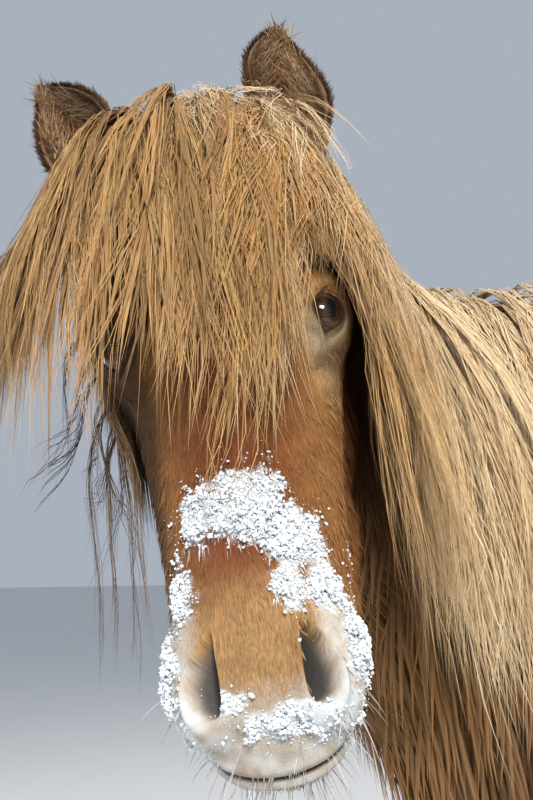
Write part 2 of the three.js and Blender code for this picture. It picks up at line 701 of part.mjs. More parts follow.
// Tail: a dock with locks that leave it all along and hang to near the floor
const TAIL = [
  { at: [0, 660, 1200], radius: 34 },
  { at: [0, 775, 1186], radius: 38 },
  { at: [0, 836, 1085], radius: 34 },
  { at: [0, 846, 880], radius: 24 },
];
function tailField(p) {
  let d = 1e3;
  for (let i = 0; i < TAIL.length - 1; i++) {
    const [a, b] = [TAIL[i], TAIL[i + 1]];
    d = blended(d, rod(p, a.at, b.at, a.radius, b.radius), 30);
  }
  return d;
}
const TAIL_LOCKS = { count: 20, wide: 66, thick: 14 };
function tailLocks(keepOff) {
  const draw = seeded(31);
  const rows = [];
  for (let i = 0; i < TAIL_LOCKS.count; i++) {
    const along = (i + 0.5) / TAIL_LOCKS.count;
    const s = 1.15 + 1.45 * along;
    const k = Math.min(TAIL.length - 2, Math.floor(s));
    const inside = mixed(TAIL[k].at, TAIL[k + 1].at, s - k);
    const turnBy = i * 137.5 * DEG;
    const way = unit([Math.sin(turnBy), Math.cos(turnBy) * 0.8 + 0.12, 0.1]);
    const root = surfacePoint(inside, way, 9, tailField);
    const length = (root[2] - TAIL_TIP) * draw(0.8, 1.04);
    const [sway, phase] = [draw(0.02, 0.07), draw(0, 6.3)];
    const drape = draped({
      root,
      start: add(scaled(way, 0.8), [0, 0.2, -0.5]),
      length,
      lift: 4,
      pull: (p, t) => unit([p[0] * 0.0024 * (1 - 2 * t) + sway * Math.sin(phase + t * 6), 0.03 - 0.1 * t, -1]),
      steps: 6,
      field: tailField,
      turn: 0.36,
    });
    rows.push({ drape, wide: TAIL_LOCKS.wide * draw(0.8, 1.15), thick: TAIL_LOCKS.thick });
  }
  return clearLocks(rows, keepOff);
}

// Feather behind each fetlock
const FEATHER = { count: 6, length: 62, wide: 20, thick: 7 };
function featherLocks({ coronet }, keepOff) {
  const draw = seeded(Math.round(coronet[0] * 7 + coronet[1] * 3));
  const rows = [];
  for (let i = 0; i < FEATHER.count; i++) {
    const angle = (-75 + (150 * (i + draw(0.2, 0.8))) / FEATHER.count) * DEG;
    const height = i % 2 ? 205 : 165;
    const inside = [coronet[0], coronet[1] + 26 + (height - 100) * 0.16, height];
    const way = [Math.sin(angle), Math.cos(angle), 0];
    const root = surfacePoint(inside, way, 7);
    const drape = draped({
      root,
      start: add(way, DOWN, 1.2),
      length: FEATHER.length * draw(0.8, 1.15),
      lift: 4,
      pull: () => unit(add(scaled(way, 0.22), DOWN)),
      steps: 3,
      turn: 0.2,
    });
    rows.push({ drape, wide: FEATHER.wide * draw(0.85, 1.15), thick: FEATHER.thick });
  }
  return clearLocks(rows, keepOff);
}

// Long winter coat that hangs from the throat, breast, belly and buttocks
const FRINGE = { length: 90, wide: 30, thick: 8 };
function fringeLocks(keepOff, draw, places) {
  const rows = places.map(({ inside, way, lie }) => {
    const root = surfacePoint(inside, unit(way), 12);
    const drape = draped({
      root,
      start: add(unit(way), lie, 1.4),
      length: FRINGE.length * draw(0.8, 1.25),
      lift: 5,
      pull: () => unit(lie),
      steps: 3,
      turn: 0.22,
    });
    return { drape, wide: FRINGE.wide * draw(0.8, 1.2), thick: FRINGE.thick };
  });
  return clearLocks(rows, keepOff);
}
function bellyPlaces(draw) {
  return Array.from({ length: 14 }, (_, i) => {
    const y = -230 + 44 * i + draw(-10, 10);
    const x = (i % 2 ? 1 : -1) * draw(20, 120);
    return { inside: [x, y, 900], way: [x * 0.002, 0, -1], lie: unit([0, 0.75, -0.6]) };
  });
}
function breastPlaces(draw) {
  return Array.from({ length: 12 }, (_, i) => {
    const x = -130 + 260 * ((i * 0.618) % 1);
    const inside = [x * 0.7, -500, 880 + 16 * i + draw(-10, 10)];
    return { inside, way: [x * 0.004, -1, -0.2], lie: unit([0, 0.1, -1]) };
  });
}
function throatPlaces(draw) {
  const places = [];
  for (let i = 0; i < 14; i++) {
    const t = 0.28 + (0.68 * (i + draw(0.2, 0.8))) / 14;
    const side = (i % 2 ? 1 : -1) * draw(0.1, 0.7);
    places.push({ inside: neckAt(t), way: [side, -0.25, -1], lie: unit([0, 0.25, -1]) });
  }
  return places;
}

// Cuts between the parts of the body
const NECK_CUT = { at: [0, -600, 1195], normal: [0, -0.852, 0.524] };
const HEAD_CUT = { at: head.out([0, -175, 70]), normal: head.turnOut([0, 0.85, 0.53]) };
const HEAD_BOX = { low: [-150, -275, -150], high: [150, 220, 640] };
const FRONT_CUT = { at: [135, 0, 725], normal: [0.492, 0, -0.871] };
const HIND_CUT = { at: [140, 0, 791], normal: [0.51, 0, -0.86] };
const TAIL_CUT = { at: [0, 735, 1190], normal: [0, 1, 0] };

// A box between two corners of the head's frame
function headBox(low, high) {
  const middle = mixed(low, high, 0.5);
  const shape = new THREE.BoxGeometry(...sub(high, low)).translate(...middle);
  const frame = new THREE.Matrix4().makeBasis(
    new THREE.Vector3(...head.u),
    new THREE.Vector3(...head.v),
    new THREE.Vector3(...head.w),
  );
  return solidOf(shape.applyMatrix4(frame).translate(...POLL));
}

function worldBox(low, high) {
  return solidOf(new THREE.BoxGeometry(...sub(high, low)).translate(...mixed(low, high, 0.5)));
}

// The room of the head, with its faces moved in by `inset`
function headRoom(inset) {
  const box = headBox(HEAD_BOX.low.map((x) => x + inset), HEAD_BOX.high.map((x) => x - inset));
  return box.intersect(block(HEAD_CUT.at, HEAD_CUT.normal, 1200, 1200, inset));
}

function legRoom({ side, from, to }, cut, inset) {
  const mirrored = ([x, y, z]) => [x * side, y, z];
  const rows = worldBox([side > 0 ? inset : -600, from, 0], [side > 0 ? 600 : -inset, to - inset, 1100]);
  return rows.intersect(block(mirrored(cut.at), mirrored(cut.normal), 1400, 2600, inset));
}

// Hoof: from the sole up to a sloping coronet
function hoof({ coronet }) {
  const [x, y] = coronet;
  const around = 18;
  const tilt = Math.tan(HOOF.slope * DEG);
  const ring = (rx, ry, cy, height, rise) =>
    Array.from({ length: around }, (_, i) => {
      const a = (i / around) * 2 * Math.PI;
      const back = Math.sin(a) > 0 ? HOOF.heel : 1;
      const dy = ry * Math.sin(a) * back;
      return [x + rx * Math.cos(a), cy + dy, height - rise * dy];
    });
  const rings = [
    ring(HOOF.sole[0], HOOF.sole[1], y - HOOF.back, 0, 0),
    ring(HOOF.sole[0], HOOF.sole[1], y - HOOF.back + 1, 3, 0),
    ring(HOOF.top[0], HOOF.top[1], y, HOOF.height, tilt),
  ];
  return solidOf(loft(rings));
}

// A closed skin over rings with equal counts of points, wound the same way about a rising axis
function loft(rings) {
  const count = rings[0].length;
  const positions = rings.flat();
  const triangles = [];
  for (let i = 0; i < rings.length - 1; i++)
    for (let j = 0; j < count; j++) {
      const [a, b] = [i * count + j, i * count + ((j + 1) % count)];
      triangles.push([a, b, b + count], [a, b + count, a + count]);
    }
  const top = (rings.length - 1) * count;
  for (let j = 1; j < count - 1; j++) triangles.push([0, j + 1, j], [top, top + j, top + j + 1]);
  return geometryOf({ positions, triangles });
}

// Ear: a leaf rolled into a cup. `side` is 1 for the left ear; the opening faces forward and out.
// Its root in the head's frame and its angles in degrees: tilt back, turn outwards, and half the roll.
const EAR_SHAPE = { root: [-44, -10], back: 4, open: 24, roll: 118, sink: 28, collar: 24 };
function earFrame(side) {
  const lean = (side > 0 ? EAR.lean.left : EAR.lean.right) * DEG;
  const back = EAR_SHAPE.back * DEG;
  const open = EAR_SHAPE.open * DEG;
  const along = unit([side * Math.sin(lean), -Math.sin(back), -Math.cos(lean)]);
  const facing0 = [side * Math.sin(open), Math.cos(open), 0];
  const facing = unit(sub(facing0, scaled(along, dot(facing0, along))));
  const across = cross(facing, along);
  const root = [side * (side > 0 ? EAR.at.left : EAR.at.right), ...EAR_SHAPE.root];
  const out = (a, f, l) => head.out(add(add(add(root, across, a), facing, f), along, l));
  return { root: head.out(root), along: head.turnOut(along), out };
}

function ear(side) {
  const { out } = earFrame(side);
  const steps = 7;
  const around = 6;
  const length = EAR.length + EAR_SHAPE.sink;
  const positions = [];
  const triangles = [];
  const rows = Array.from({ length: steps + 1 }, (_, i) => {
    const s = i / steps;
    const leaf = Math.sin(Math.PI * (0.22 + 0.78 * s ** 1.15)) ** 0.6;
    const half = (EAR.width / 2) * (s === 1 ? 0.08 : leaf);
    const roll = (1 - 0.55 * s) * EAR_SHAPE.roll * DEG;
    const radius = half / Math.min(1, Math.sin(Math.min(roll, 90 * DEG)));
    const inside = Math.max(radius - (6.5 - 3 * s), radius * 0.3);
    const rise = s * length - EAR_SHAPE.sink;
    const at = (r, a) => out(-r * Math.sin(a), radius * 0.35 - r * Math.cos(a) * 0.9, rise);
    const edges = Array.from({ length: around + 1 }, (_, j) => roll * (2 * (j / around) - 1));
    const outer = edges.map((a) => at(radius, a));
    const inner = edges.map((a) => at(inside, a * 0.96));
    return [...outer, ...inner.reverse()];
  });
  const count = rows[0].length;
  rows.forEach((row) => positions.push(...row));
  for (let i = 0; i < steps; i++)
    for (let j = 0; j < count; j++) {
      const [a, b] = [i * count + j, i * count + ((j + 1) % count)];
      triangles.push([a, b, b + count], [a, b + count, a + count]);
    }
  const cap = (start, flip) => {
    for (let j = 0; j < around; j++) {
      const [a, b, c, d] = [start + j, start + j + 1, start + count - 2 - j, start + count - 1 - j];
      triangles.push(flip ? [a, c, b] : [a, b, c], flip ? [a, d, c] : [a, c, d]);
    }
  };
  cap(0, true);
  cap(steps * count, false);
  return outwards({ positions, triangles });
}

function earRoom(side, inset) {
  const { root, along } = earFrame(side);
  return block(root, along, 260, 170, EAR_SHAPE.collar + inset);
}

// Eye
function ball(centre, radius, across = 12, down = 8) {
  return solidOf(new THREE.SphereGeometry(radius, across, down).translate(...centre));
}

function turned(geometry, side, steps, at) {
  steps.forEach(([axis, angle]) => geometry[`rotate${axis}`](angle * DEG));
  const flip = side < 0 ? new THREE.Matrix4().makeScale(-1, 1, 1) : new THREE.Matrix4();
  geometry.translate(...at).applyMatrix4(flip);
  const frame = new THREE.Matrix4().makeBasis(
    new THREE.Vector3(...head.u),
    new THREE.Vector3(...head.v),
    new THREE.Vector3(...head.w),
  );
  geometry.applyMatrix4(frame).translate(...POLL);
  if (side < 0) {
    const i = geometry.index.array;
    for (let k = 0; k < i.length; k += 3) [i[k], i[k + 1]] = [i[k + 1], i[k]];
  }
  return solidOf(geometry);
}

// The opening between the lids: an almond that slopes down towards the nose and looks out and forward
function eyeOpening(side) {
  const shape = new THREE.Shape();
  const [long, high] = EYE.open.map((x) => x / 2);
  shape.moveTo(-long, 0).quadraticCurveTo(0, high * 2, long, 0).quadraticCurveTo(0, -high * 2, -long, 0);
  const prism = new THREE.ExtrudeGeometry(shape, { depth: 50, bevelEnabled: false, curveSegments: 6 });
  const look = unit([0.86 * side, 0.5, 0.12]);
  const slope = unit(sub([0, 0.25, 0.97], scaled(look, dot(look, [0, 0.25, 0.97]))));
  const [x, y, z] = [slope, cross(look, slope), look].map((d) => new THREE.Vector3(...head.turnOut(d)));
  prism.applyMatrix4(new THREE.Matrix4().makeBasis(x, y, z));
  return solidOf(prism.translate(...head.out([EYE.at[0] * side, EYE.at[1], EYE.at[2]])));
}

function eyeParts(side) {
  const centre = head.out([EYE.at[0] * side, EYE.at[1], EYE.at[2]]);
  return {
    eye: ball(centre, EYE.radius),
    socket: ball(centre, EYE.radius + GAP),
    lid: ball(centre, EYE.radius + LID),
    opening: eyeOpening(side),
  };
}

// Nostrils and mouth
function nostril(side) {
  const shape = new THREE.SphereGeometry(1, 14, 9).scale(...NOSTRIL.r);
  return turned(shape, side, [["Y", NOSTRIL.lean]], NOSTRIL.c);
}
function mouthLine() {
  const shape = new THREE.SphereGeometry(1, 22, 8).scale(...MOUTH.r);
  return turned(shape, 1, [["X", MOUTH.slope]], MOUTH.c);
}

// Assembly
const horseGroup = new THREE.Group();
function node(name, solid, colour, roughness = 0.85) {
  const one = largest(solid);
  const mesh = one.getMesh();
  const geometry = new THREE.BufferGeometry()
    .setAttribute("position", new THREE.BufferAttribute(new Float32Array(mesh.vertProperties), 3))
    .setIndex(new THREE.BufferAttribute(new Uint32Array(mesh.triVerts), 1));
  const material = new THREE.MeshStandardMaterial({ color: colour, roughness, metalness: 0 });
  const piece = new THREE.Mesh(geometry, material);
  piece.name = name;
  horseGroup.add(piece);
}

const COAT = {
  torso: 0x9b6536,
  neck: 0xb58953,
  head: 0xa1622f,
  leg: 0x8a5a33,
  ear: 0x6e4a2b,
  tail: 0xcbb083,
};
const SIDES = { left: 1, right: -1 };
const HORN = 0x3a322b;
const EYEBALL = 0x11141a;

// Eyes and ears, with the room that they leave in the head
const eyes = { left: eyeParts(1), right: eyeParts(-1) };
const ears = { left: ear(1), right: ear(-1) };

// Torso and legs first: hair from the neck, head and tail is kept clear of them
const neckRoom = (inset) => block(NECK_CUT.at, NECK_CUT.normal, 1600, 2400, inset);
let torso = flesh([-420, -840, 560], [420, 840, 1460], 22, 1100)
  .subtract(neckRoom(-GAP / 2))
  .subtract(block(TAIL_CUT.at, TAIL_CUT.normal, 300, 330, -GAP / 2));
const legs = {};
const hooves = {};
for (const [name, one] of Object.entries(LEGS)) {
  const cut = name.startsWith("front") ? FRONT_CUT : HIND_CUT;
  torso = torso.subtract(legRoom(one, cut, -GAP / 2));
  const [near, far] = [-60 * one.side, 390 * one.side];
  const low = [Math.min(near, far), one.from - 60, 20];
  const high = [Math.max(near, far), one.to + 60, 1000];
  const coronetPlane = [0, Math.tan(HOOF.slope * DEG), 1];
  hooves[name] = hoof(one);
  legs[name] = flesh(low, high, 9, 350)
    .intersect(legRoom(one, cut, GAP / 2))
    .intersect(block(one.coronet, coronetPlane, 1400, 900, GAP));
  legs[name] = joined([largest(legs[name]), ...featherLocks(one, [hooves[name]])]);
}
torso = largest(torso);

// Head, with the room of the eyes, ears, nostrils and mouth taken out
let skull = flesh([-20, -1290, 840], [520, -800, 1560], 8, 1350).intersect(headRoom(GAP / 2));
for (const name of ["left", "right"]) {
  const { lid, opening, socket } = eyes[name];
  skull = skull.add(lid).subtract(opening).subtract(socket);
  skull = skull.add(ears[name].subtract(earRoom(SIDES[name], -GAP / 2)));
  skull = skull.subtract(nostril(SIDES[name]));
  ears[name] = ears[name].intersect(earRoom(SIDES[name], GAP / 2));
}
skull = largest(skull.subtract(mouthLine()));

let neck = flesh([-260, -1180, 880], [340, -380, 1560], 16, 500)
  .intersect(neckRoom(GAP / 2))
  .subtract(headRoom(-GAP / 2));
neck = largest(neck);

// Hair
const featured = [ears.left, ears.right, eyes.left.eye, eyes.right.eye];
const headHair = [...forelockLocks([...featured, neck, torso]), ...beardLocks([neck, torso])];
const headAll = joined([skull, ...headHair]);
const draw = seeded(47);
const neckHair = [
  ...maneLocks([torso, headAll, ...featured]),
  ...fringeLocks([torso, headAll], draw, throatPlaces(draw)),
];
const neckAll = joined([neck, ...neckHair]);
const bodyPlaces = [...bellyPlaces(draw), ...breastPlaces(draw)];
const bodyHair = fringeLocks([neckAll, headAll, ...Object.values(legs)], draw, bodyPlaces);
const dock = flesh([-120, 600, 800], [120, 960, 1300], 14, 160, tailField).intersect(
  block(TAIL_CUT.at, TAIL_CUT.normal, 2600, 2600, GAP / 2),
);

node("head", headAll, COAT.head);
node("neck", neckAll, COAT.neck);
node("torso", joined([torso, ...bodyHair]), COAT.torso);
node("tail", joined([largest(dock), ...tailLocks([torso, ...Object.values(legs)])]), COAT.tail);
for (const name of ["left", "right"]) {
  node(`eye_${name}`, eyes[name].eye, EYEBALL, 0.1);
  node(`ear_${name}`, ears[name], COAT.ear);
}
for (const name of Object.keys(LEGS)) {
  node(`leg_${name}`, legs[name], COAT.leg);
  node(`hoof_${name}`, hooves[name], HORN, 0.6);
}

// The origin: middle of the whole box, on the floor
const whole = new THREE.Box3().setFromObject(horseGroup);
const middle = whole.getCenter(new THREE.Vector3());
horseGroup.children.forEach((piece) => piece.geometry.translate(-middle.x, -middle.y, -whole.min.z));

export default horseGroup;
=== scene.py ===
from math import cos, pi, radians, sin, tan

import bpy
import numpy as np
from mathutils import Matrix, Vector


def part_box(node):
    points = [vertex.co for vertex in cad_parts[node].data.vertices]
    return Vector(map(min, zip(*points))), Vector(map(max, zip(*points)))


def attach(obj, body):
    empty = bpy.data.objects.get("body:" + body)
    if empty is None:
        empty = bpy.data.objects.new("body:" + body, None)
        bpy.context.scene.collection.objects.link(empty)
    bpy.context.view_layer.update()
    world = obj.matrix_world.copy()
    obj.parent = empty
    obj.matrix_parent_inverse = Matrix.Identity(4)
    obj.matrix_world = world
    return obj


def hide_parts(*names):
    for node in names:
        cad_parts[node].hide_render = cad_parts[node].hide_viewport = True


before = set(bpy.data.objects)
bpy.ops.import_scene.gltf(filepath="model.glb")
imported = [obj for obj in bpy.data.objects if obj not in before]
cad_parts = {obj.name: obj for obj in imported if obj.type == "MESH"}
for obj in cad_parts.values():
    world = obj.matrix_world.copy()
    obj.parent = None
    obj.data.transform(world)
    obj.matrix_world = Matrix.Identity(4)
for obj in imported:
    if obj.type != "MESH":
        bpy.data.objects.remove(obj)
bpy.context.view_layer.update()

# The body's frame: metres, the floor at z 0, the horse facing -y with its left side at +x.
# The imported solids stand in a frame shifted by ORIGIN, so every mesh is moved by it once, as it is made.
HOOF_CORNER = np.array([0.078, -0.592, 0.0])  # lowest corner of the left fore hoof's box
ORIGIN = HOOF_CORNER - np.array(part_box("hoof_front_left")[0])
rng = np.random.default_rng(1401)

# Driving dimensions
WITHERS = 1.37
FORE_TRACK = 0.135
HIND_TRACK = 0.14
POLL = np.array([0.161, -1.02, 1.45])
HEAD_TURN, HEAD_NOD, HEAD_TILT = radians(55.5), radians(18.2), radians(10.2)
DOWN = np.array([0.0, 0.0, -1.0])
SIDES = (("left", 1), ("right", -1))


def unit(a):
    """Each vector of the array divided by its length."""
    return a / np.maximum(np.linalg.norm(a, axis=-1, keepdims=True), 1e-12)


def dots(a, b):
    """Scalar product of each pair of vectors, kept as a column."""
    return np.sum(a * b, axis=-1, keepdims=True)


def held(x):
    """x kept between 0 and 1."""
    return np.clip(x, 0, 1)


def smooth(low, high, x):
    """0 below low, 1 above high, and 3t^2 - 2t^3 between them."""
    t = held((x - low) / (high - low))
    return t * t * (3 - 2 * t)


def vectors(*parts):
    """Vectors from their coordinates, each an array or one number for all."""
    return np.stack(np.broadcast_arrays(*parts), -1)


# The head's own frame: u to the horse's left, v out of the face, w from the poll down the nose
def head_axes():
    """Rows u, v and w: the face's normal is turned and raised, then the head is tilted about it."""
    v = np.array([sin(HEAD_TURN) * cos(HEAD_NOD), -cos(HEAD_TURN) * cos(HEAD_NOD), sin(HEAD_NOD)])
    level = np.array([cos(HEAD_TURN), sin(HEAD_TURN), 0.0])
    u = unit(level * cos(HEAD_TILT) - np.cross(level, v) * sin(HEAD_TILT))
    return np.array([u, v, np.cross(u, v)])


HEAD_AXES = head_axes()


def from_head(q):
    """Places of the head's frame as places of the body's frame."""
    return POLL + np.asarray(q, float) @ HEAD_AXES


def to_head(p):
    """Places of the body's frame as places of the head's frame."""
    return (p - POLL) @ HEAD_AXES.T


def turn_out(d):
    """A direction of the head's frame as one of the body's frame."""
    return np.asarray(d, float) @ HEAD_AXES


# Camera, light and floor
CAMERA_AT = np.array([0.8458, -1.2772, 1.0608])
CAMERA_AZIMUTH, CAMERA_PITCH = 64.0, 10.5  # degrees
LENS, SENSOR = 38.0, 36.0


def make_camera():
    """The photograph's view: a low camera close to the head, tipped up a little."""
    data = bpy.data.cameras.new("camera")
    data.lens = LENS
    data.sensor_fit = "VERTICAL"
    data.sensor_width = SENSOR
    data.sensor_height = SENSOR
    data.clip_start = 0.02
    camera = bpy.data.objects.new("camera", data)
    bpy.context.scene.collection.objects.link(camera)
    camera.location = CAMERA_AT - ORIGIN
    camera.rotation_euler = (radians(90 + CAMERA_PITCH), 0, radians(CAMERA_AZIMUTH))
    bpy.context.scene.camera = camera


def make_light(name, at, target, size, power, colour):
    """A square soft box at `at` that faces `target`."""
    data = bpy.data.lights.new(name, "AREA")
    data.size = size
    data.energy = power
    data.color = colour
    lamp = bpy.data.objects.new(name, data)
    bpy.context.scene.collection.objects.link(lamp)
    lamp.location = np.array(at) - ORIGIN
    way = np.array(target) - np.array(at)
    yaw = np.arctan2(way[0], -way[1])
    fall = np.arctan2(np.hypot(way[0], way[1]), -way[2])
    lamp.rotation_euler = (fall, 0, yaw + pi)


def make_studio():
    """A wide pale floor, a pale even surround, one large key light and two fills."""
    bpy.context.scene.view_settings.view_transform = "Standard"
    bpy.ops.mesh.primitive_plane_add(size=60)
    floor = bpy.context.object
    floor.name = "studio_floor"
    floor.data.materials.append(floor_finish())
    world = bpy.data.worlds.new("studio")
    bpy.context.scene.world = world
    world.use_nodes = True
    background = world.node_tree.nodes["Background"]
    background.inputs["Color"].default_value = (0.72, 0.8, 0.92, 1)
    background.inputs["Strength"].default_value = 0.55
    make_light("key", (3.0, -2.0, 3.1), (0.25, -0.9, 1.15), 1.1, 210, (1.0, 0.93, 0.82))
    make_light("fill", (-2.2, -3.0, 1.6), (0.1, -0.7, 1.0), 2.4, 40, (0.88, 0.94, 1.0))
    make_light("rim", (-1.2, 2.6, 3.4), (0.0, 0.0, 1.1), 2.0, 110, (1.0, 0.96, 0.9))


# Shader maths
class Signal:
    """A shader value that Python's operators turn into Math nodes."""

    def __init__(self, finish, socket):
        self.finish = finish
        self.socket = socket

    def maths(self, operation, *values):
        made = self.finish.node("ShaderNodeMath", dict(operation=operation), dict(enumerate(values)))
        return Signal(self.finish, made.outputs[0])

    def __add__(self, other):
        return self.maths("ADD", self, other)

    def __radd__(self, other):
        return self.maths("ADD", other, self)

    def __sub__(self, other):
        return self.maths("SUBTRACT", self, other)

    def __rsub__(self, other):
        return self.maths("SUBTRACT", other, self)

    def __mul__(self, other):
        return self.maths("MULTIPLY", self, other)

    def __rmul__(self, other):
        return self.maths("MULTIPLY", other, self)

    def clipped(self, low=0.0, high=1.0):
        return self.maths("MINIMUM", self.maths("MAXIMUM", self, low), high)


class Finish:
    """One material's node tree, round a single Principled shader."""

    def __init__(self, name, roughness=0.6, specular=0.4):
        self.material = bpy.data.materials.new(name)
        self.material.use_nodes = True
        self.tree = self.material.node_tree
        self.shader = self.tree.nodes["Principled BSDF"]
        self.shader.inputs["Roughness"].default_value = roughness
        self.shader.inputs["Specular IOR Level"].default_value = specular

    def node(self, kind, settings=None, values=None):
        """A node with its settings made first, and then its sockets set or linked."""
        made = self.tree.nodes.new(kind)
        for key, value in (settings or {}).items():
            setattr(made, key, value)
        for key, value in (values or {}).items():
            self.feed(made.inputs[key], value)
        return made

    def feed(self, socket, value):
        if isinstance(value, Signal):
            self.tree.links.new(value.socket, socket)
        elif isinstance(value, bpy.types.NodeSocket):
            self.tree.links.new(value, socket)
        elif isinstance(value, tuple) and len(value) == 3 and socket.type == "RGBA":
            socket.default_value = (*value, 1)
        else:
            socket.default_value = value

    def attribute(self, name):
        made = self.node("ShaderNodeAttribute", dict(attribute_name=name))
        return Signal(self, made.outputs["Fac"])

    def place(self, name):
        """An attribute of three numbers, as the place where a pattern is read."""
        return self.node("ShaderNodeAttribute", dict(attribute_name=name)).outputs["Vector"]

    def noise(self, scale, detail=4.0, roughness=0.55, at=None):
        at = at or self.node("ShaderNodeTexCoord").outputs["Object"]
        values = dict(Vector=at, Scale=scale, Detail=detail, Roughness=roughness)
        return Signal(self, self.node("ShaderNodeTexNoise", None, values).outputs["Fac"])

    def mix(self, factor, one, two, blend="MIX"):
        """Colour `one` turned towards colour `two` by the factor."""
        made = self.node("ShaderNodeMix", dict(data_type="RGBA", blend_type=blend))
        for index, value in ((0, factor), (6, one), (7, two)):
            self.feed(made.inputs[index], value)
        return made.outputs[2]

    def dimmed(self, colour, light):
        """The colour multiplied by a number from 0 up."""
        grey = self.node("ShaderNodeCombineColor", None, {0: light, 1: light, 2: light}).outputs[0]
        return self.mix(1.0, colour, grey, "MULTIPLY")

    def bump(self, height, strength, distance):
        values = dict(Height=height, Strength=strength, Distance=distance)
        self.feed(self.shader.inputs["Normal"], self.node("ShaderNodeBump", None, values).outputs[0])

    def colour(self, value):
        self.feed(self.shader.inputs["Base Color"], value)


# Colours of the animal, as linear values
TAN = (0.4, 0.205, 0.068)
GOLD = (0.43, 0.245, 0.082)
CHESTNUT = (0.205, 0.056, 0.016)
CREAM = (0.66, 0.53, 0.35)
# SMOKE colours the real dark markings and also paints shade: inside the nostrils, along the mouth, over the
# far cheek and on the dark cheek strands
SMOKE = (0.034, 0.02, 0.013)
FROST = (0.58, 0.63, 0.67)


# Finishes
def floor_finish():
    """Matt pale plaster with a faint mottle."""
    finish = Finish("studio_plaster", roughness=0.9, specular=0.2)
    finish.colour(finish.mix(finish.noise(0.8, 2), (0.7, 0.7, 0.7), (0.76, 0.76, 0.755)))
    return finish.material


def paint_marked(finish, base, light):
    """The base turned red, pale and dark by the markings, where dark also carries painted shade, dimmed by
    the light, and frosted over.
    """
    colour = base
    for mark, tint in (("red", CHESTNUT), ("pale", CREAM), ("dark", SMOKE)):
        colour = finish.mix(finish.attribute(mark), colour, tint)
    colour = finish.dimmed(colour, light)
    finish.colour(finish.mix(finish.attribute("frost"), colour, FROST))


def coat_finish(name, base, roughness, level, tones, contrast, relief=0.0006):
    """Hair in its markings' colour. A tuft is darker at its root, and fine strands run down it."""
    finish = Finish(name, roughness=roughness, specular=0.2)
    strand = finish.noise(1.0, 4, 0.65, finish.place("strand"))
    light = (level + 0.3 * (finish.attribute("along") - 0.5) + tones * (finish.attribute("tone") - 0.5)
             + contrast * (strand - 0.5)).clipped(0.06, 1.6)
    paint_marked(finish, base, light)
    finish.bump(strand, 0.8, relief)
    return finish.material


def skin_finish():
    """Skin and flat short hair: the coat's markings, broken up by streaks along the hair's lie."""
    finish = Finish("skin_and_short_hair", roughness=0.72, specular=0.15)
    streak = finish.noise(1.0, 4, 0.62, finish.place("grain"))
    blotch = finish.noise(45, 4)
    paint_marked(finish, TAN, 0.6 + 1.3 * (streak - 0.5) + 0.6 * (blotch - 0.5))
    finish.bump(streak, 0.6, 0.0012)
    return finish.material


def eye_finish():
    """A wet eye: a wide dark pupil in a brown iris with fine spokes, and brown-grey white at its edge."""
    finish = Finish("wet_eye", roughness=0.04, specular=0.6)
    fleck = finish.noise(900, 3)
    iris = finish.mix(fleck, (0.018, 0.008, 0.004), (0.06, 0.026, 0.01))
    colour = finish.mix(finish.attribute("iris"), (0.1, 0.07, 0.055), iris)
    finish.colour(finish.mix(finish.attribute("pupil"), colour, (0.004, 0.005, 0.009)))
    finish.shader.inputs["Coat Weight"].default_value = 1.0
    finish.shader.inputs["Coat Roughness"].default_value = 0.02
    return finish.material


def horn_finish():
    """Dark horn, streaked down its length and paler where it wears at the floor."""
    finish = Finish("hoof_horn", roughness=0.5, specular=0.4)
    height = finish.attribute("up")
    streak = finish.noise(90, 3)
    colour = finish.mix(streak, (0.03, 0.022, 0.016), (0.085, 0.062, 0.042))
    colour = finish.mix((0.35 - height * 1.2).clipped(), colour, (0.16, 0.13, 0.1))
    finish.colour(colour)
    finish.bump(finish.noise(160, 4), 0.4, 0.001)
    return finish.material


def snow_finish():
    """White powder that glitters a little, painted bluer in the hollows of its bump as painted shade."""
    finish = Finish("snow_powder", roughness=0.6, specular=0.3)
    grains = finish.noise(700, 3)
    # Painted shade: the noise that sinks the bump also turns the colour bluer there
    finish.colour(finish.mix(grains, (0.6, 0.66, 0.74), (0.8, 0.83, 0.86)))
    finish.bump(grains, 0.6, 0.0006)
    return finish.material


SKIN = skin_finish()
EYE_GLOSS = eye_finish()
HORN = horn_finish()
COAT = coat_finish("winter_coat", TAN, roughness=0.6, level=0.66, tones=0.4, contrast=0.8)
FACE_COAT = coat_finish("face_coat", TAN, roughness=0.6, level=0.62, tones=0.22, contrast=0.5)
HAIR = coat_finish("long_hair", GOLD, roughness=0.45, level=0.9, tones=0.6, contrast=1.9, relief=0.0008)
SNOW_POWDER = snow_finish()

# Snow that lies on the muzzle: places in the head's frame, their reach along each axis, and how thick it is
SNOW = (
    ((-0.034, -0.01, 0.37), (0.03, 0.03, 0.026), 0.95),
    ((0.004, -0.005, 0.374), (0.034, 0.03, 0.028), 1.15),
    ((0.036, -0.015, 0.398), (0.024, 0.03, 0.028), 1.15),
    ((0.028, -0.008, 0.436), (0.012, 0.03, 0.028), 0.95),
    ((0.052, -0.016, 0.436), (0.016, 0.03, 0.022), 0.95),
    ((0.066, -0.022, 0.478), (0.01, 0.03, 0.04), 0.9),
    ((-0.052, -0.02, 0.425), (0.012, 0.03, 0.03), 0.9),
    ((-0.062, -0.022, 0.478), (0.01, 0.03, 0.04), 0.85),
    ((-0.022, -0.01, 0.508), (0.02, 0.02, 0.01), 0.95),
    ((0.012, -0.02, 0.524), (0.032, 0.022, 0.012), 1.15),
    ((0.056, -0.085, 0.52), (0.014, 0.05, 0.034), 0.8),
    ((-0.056, -0.085, 0.52), (0.014, 0.05, 0.034), 0.8),
    ((0.0, -0.128, 0.53), (0.04, 0.03, 0.03), 0.7),
    ((0.074, -0.062, 0.45), (0.012, 0.04, 0.05), 0.6),
)


